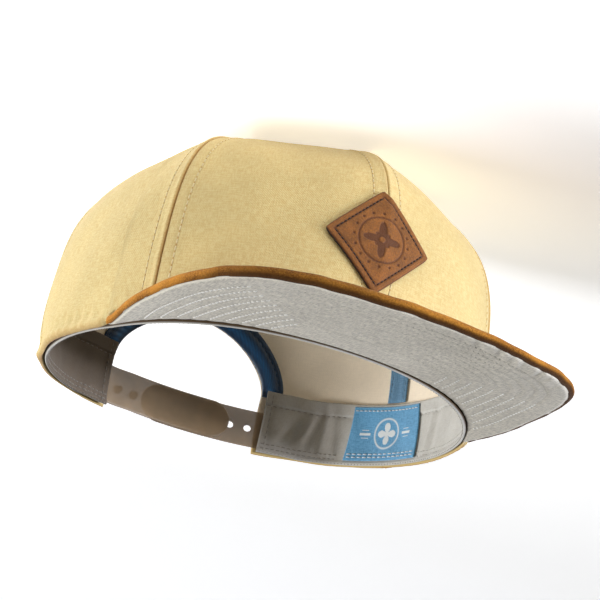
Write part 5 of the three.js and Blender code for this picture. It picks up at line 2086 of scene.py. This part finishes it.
def add_softbox(scene, name, power, towards, distance, size, colour):
    """A softbox, so far off towards a direction, facing the cap."""
    light = bpy.data.lights.new(name, "AREA")
    light.shape = "RECTANGLE"
    light.size, light.size_y = size
    light.energy = power
    light.color = colour
    holder = bpy.data.objects.new(name, light)
    direction = Vector(towards).normalized()
    low, high = CAD_BOX
    holder.location = (low + high) / 2 + direction * distance
    holder.rotation_euler = direction.to_track_quat("Z", "Y").to_euler()
    scene.collection.objects.link(holder)


def set_sky(scene, strength):
    """An even white light all round."""
    world = bpy.data.worlds.new("sky")
    world.use_nodes = True
    put(world.node_tree, world.node_tree.nodes["Background"], {"Color": (1, 1, 1, 1), "Strength": strength})
    scene.world = world


def set_camera(scene):
    """The camera at the photograph's angle."""
    camera = bpy.data.cameras.new("camera")
    camera.sensor_width = SENSOR_MM
    camera.lens = FOCAL_PIXELS / PICTURE_PIXELS * SENSOR_MM
    camera.clip_start = CLIP_START
    holder = bpy.data.objects.new("camera", camera)
    scene.collection.objects.link(holder)
    origin = place(np.zeros(3))
    right, down = [(place(axis) - origin) * 1000 for axis in (CAMERA_RIGHT, CAMERA_DOWN)]
    forward = np.cross(right, down)
    axes = Matrix(np.stack([right, -down, -forward], 1).tolist()).normalized()
    holder.matrix_world = Matrix.Translation(place(CAMERA_PLACE)) @ axes.to_4x4()
    scene.camera = holder


def dress_stage(scene):
    """Floor, lights, even sky and the camera."""
    dress_floor(scene)
    for name, softbox in SOFTBOXES.items():
        add_softbox(scene, name + "_light", getattr(scene.cap_stage, name), **softbox)
    set_sky(scene, scene.cap_stage.sky)
    scene.view_settings.view_transform = "Standard"
    set_camera(scene)


# Operators


class CAP_OT_crown(bpy.types.Operator):
    """Dresses the six panels of the crown"""

    bl_idname = "cap.crown"
    bl_label = "Crown Panels"

    def execute(self, context):
        dress_crown(context.scene)
        return {"FINISHED"}


class CAP_OT_button(bpy.types.Operator):
    """Dresses the covered button on top of the crown"""

    bl_idname = "cap.button"
    bl_label = "Crown Button"

    def execute(self, context):
        dress_button(context.scene)
        return {"FINISHED"}


class CAP_OT_peak(bpy.types.Operator):
    """Dresses the suede bill"""

    bl_idname = "cap.peak"
    bl_label = "Bill"

    def execute(self, context):
        dress_peak(context.scene)
        return {"FINISHED"}


class CAP_OT_underbill(bpy.types.Operator):
    """Dresses the cloth under the bill"""

    bl_idname = "cap.underbill"
    bl_label = "Underbill"

    def execute(self, context):
        dress_underbill(context.scene)
        return {"FINISHED"}


class CAP_OT_sweatband(bpy.types.Operator):
    """Dresses the sweatband"""

    bl_idname = "cap.sweatband"
    bl_label = "Sweatband"

    def execute(self, context):
        dress_sweatband(context.scene)
        return {"FINISHED"}


class CAP_OT_label(bpy.types.Operator):
    """Dresses the woven label"""

    bl_idname = "cap.label"
    bl_label = "Label"

    def execute(self, context):
        dress_label(context.scene)
        return {"FINISHED"}


class CAP_OT_tapes(bpy.types.Operator):
    """Dresses the tapes over the seams"""

    bl_idname = "cap.tapes"
    bl_label = "Seam Tapes"

    def execute(self, context):
        dress_tapes(context.scene)
        return {"FINISHED"}


class CAP_OT_binding(bpy.types.Operator):
    """Dresses the binding of the arched opening"""

    bl_idname = "cap.binding"
    bl_label = "Arch Binding"

    def execute(self, context):
        dress_binding(context.scene)
        return {"FINISHED"}


class CAP_OT_patch(bpy.types.Operator):
    """Dresses the leather patch"""

    bl_idname = "cap.patch"
    bl_label = "Leather Patch"

    def execute(self, context):
        dress_patch(context.scene)
        return {"FINISHED"}


class CAP_OT_straps(bpy.types.Operator):
    """Dresses both straps of the closure"""

    bl_idname = "cap.straps"
    bl_label = "Snap Straps"

    def execute(self, context):
        dress_straps(context.scene)
        return {"FINISHED"}


class CAP_OT_stage(bpy.types.Operator):
    """Sets up the floor, the lights and the camera"""

    bl_idname = "cap.stage"
    bl_label = "Stage"

    def execute(self, context):
        dress_stage(context.scene)
        return {"FINISHED"}


STEPS = [
    CAP_OT_crown,
    CAP_OT_button,
    CAP_OT_peak,
    CAP_OT_underbill,
    CAP_OT_sweatband,
    CAP_OT_label,
    CAP_OT_tapes,
    CAP_OT_binding,
    CAP_OT_patch,
    CAP_OT_straps,
    CAP_OT_stage,
]


class CAP_PT_panel(bpy.types.Panel):
    """Lists the steps that dress the cap"""

    bl_idname = "CAP_PT_panel"
    bl_label = "Cap"
    bl_space_type = "VIEW_3D"
    bl_region_type = "UI"
    bl_category = "Cap"

    def draw(self, context):
        for step in STEPS:
            self.layout.operator(step.bl_idname)


SETTINGS = {
    "cap_colours": CapColours,
    "cap_stitching": CapStitching,
    "cap_relief": CapRelief,
    "cap_stage": CapStage,
}


def register():
    for kind in (*SETTINGS.values(), *STEPS, CAP_PT_panel):
        bpy.utils.register_class(kind)
    for name, kind in SETTINGS.items():
        setattr(bpy.types.Scene, name, PointerProperty(type=kind))


def unregister():
    for name in SETTINGS:
        delattr(bpy.types.Scene, name)
    for kind in (CAP_PT_panel, *STEPS, *SETTINGS.values()):
        bpy.utils.unregister_class(kind)


def main():
    register()
    for step in STEPS:
        group_name, operator = step.bl_idname.split(".")
        getattr(getattr(bpy.ops, group_name), operator)()


if __name__ == "__main__":
    main()
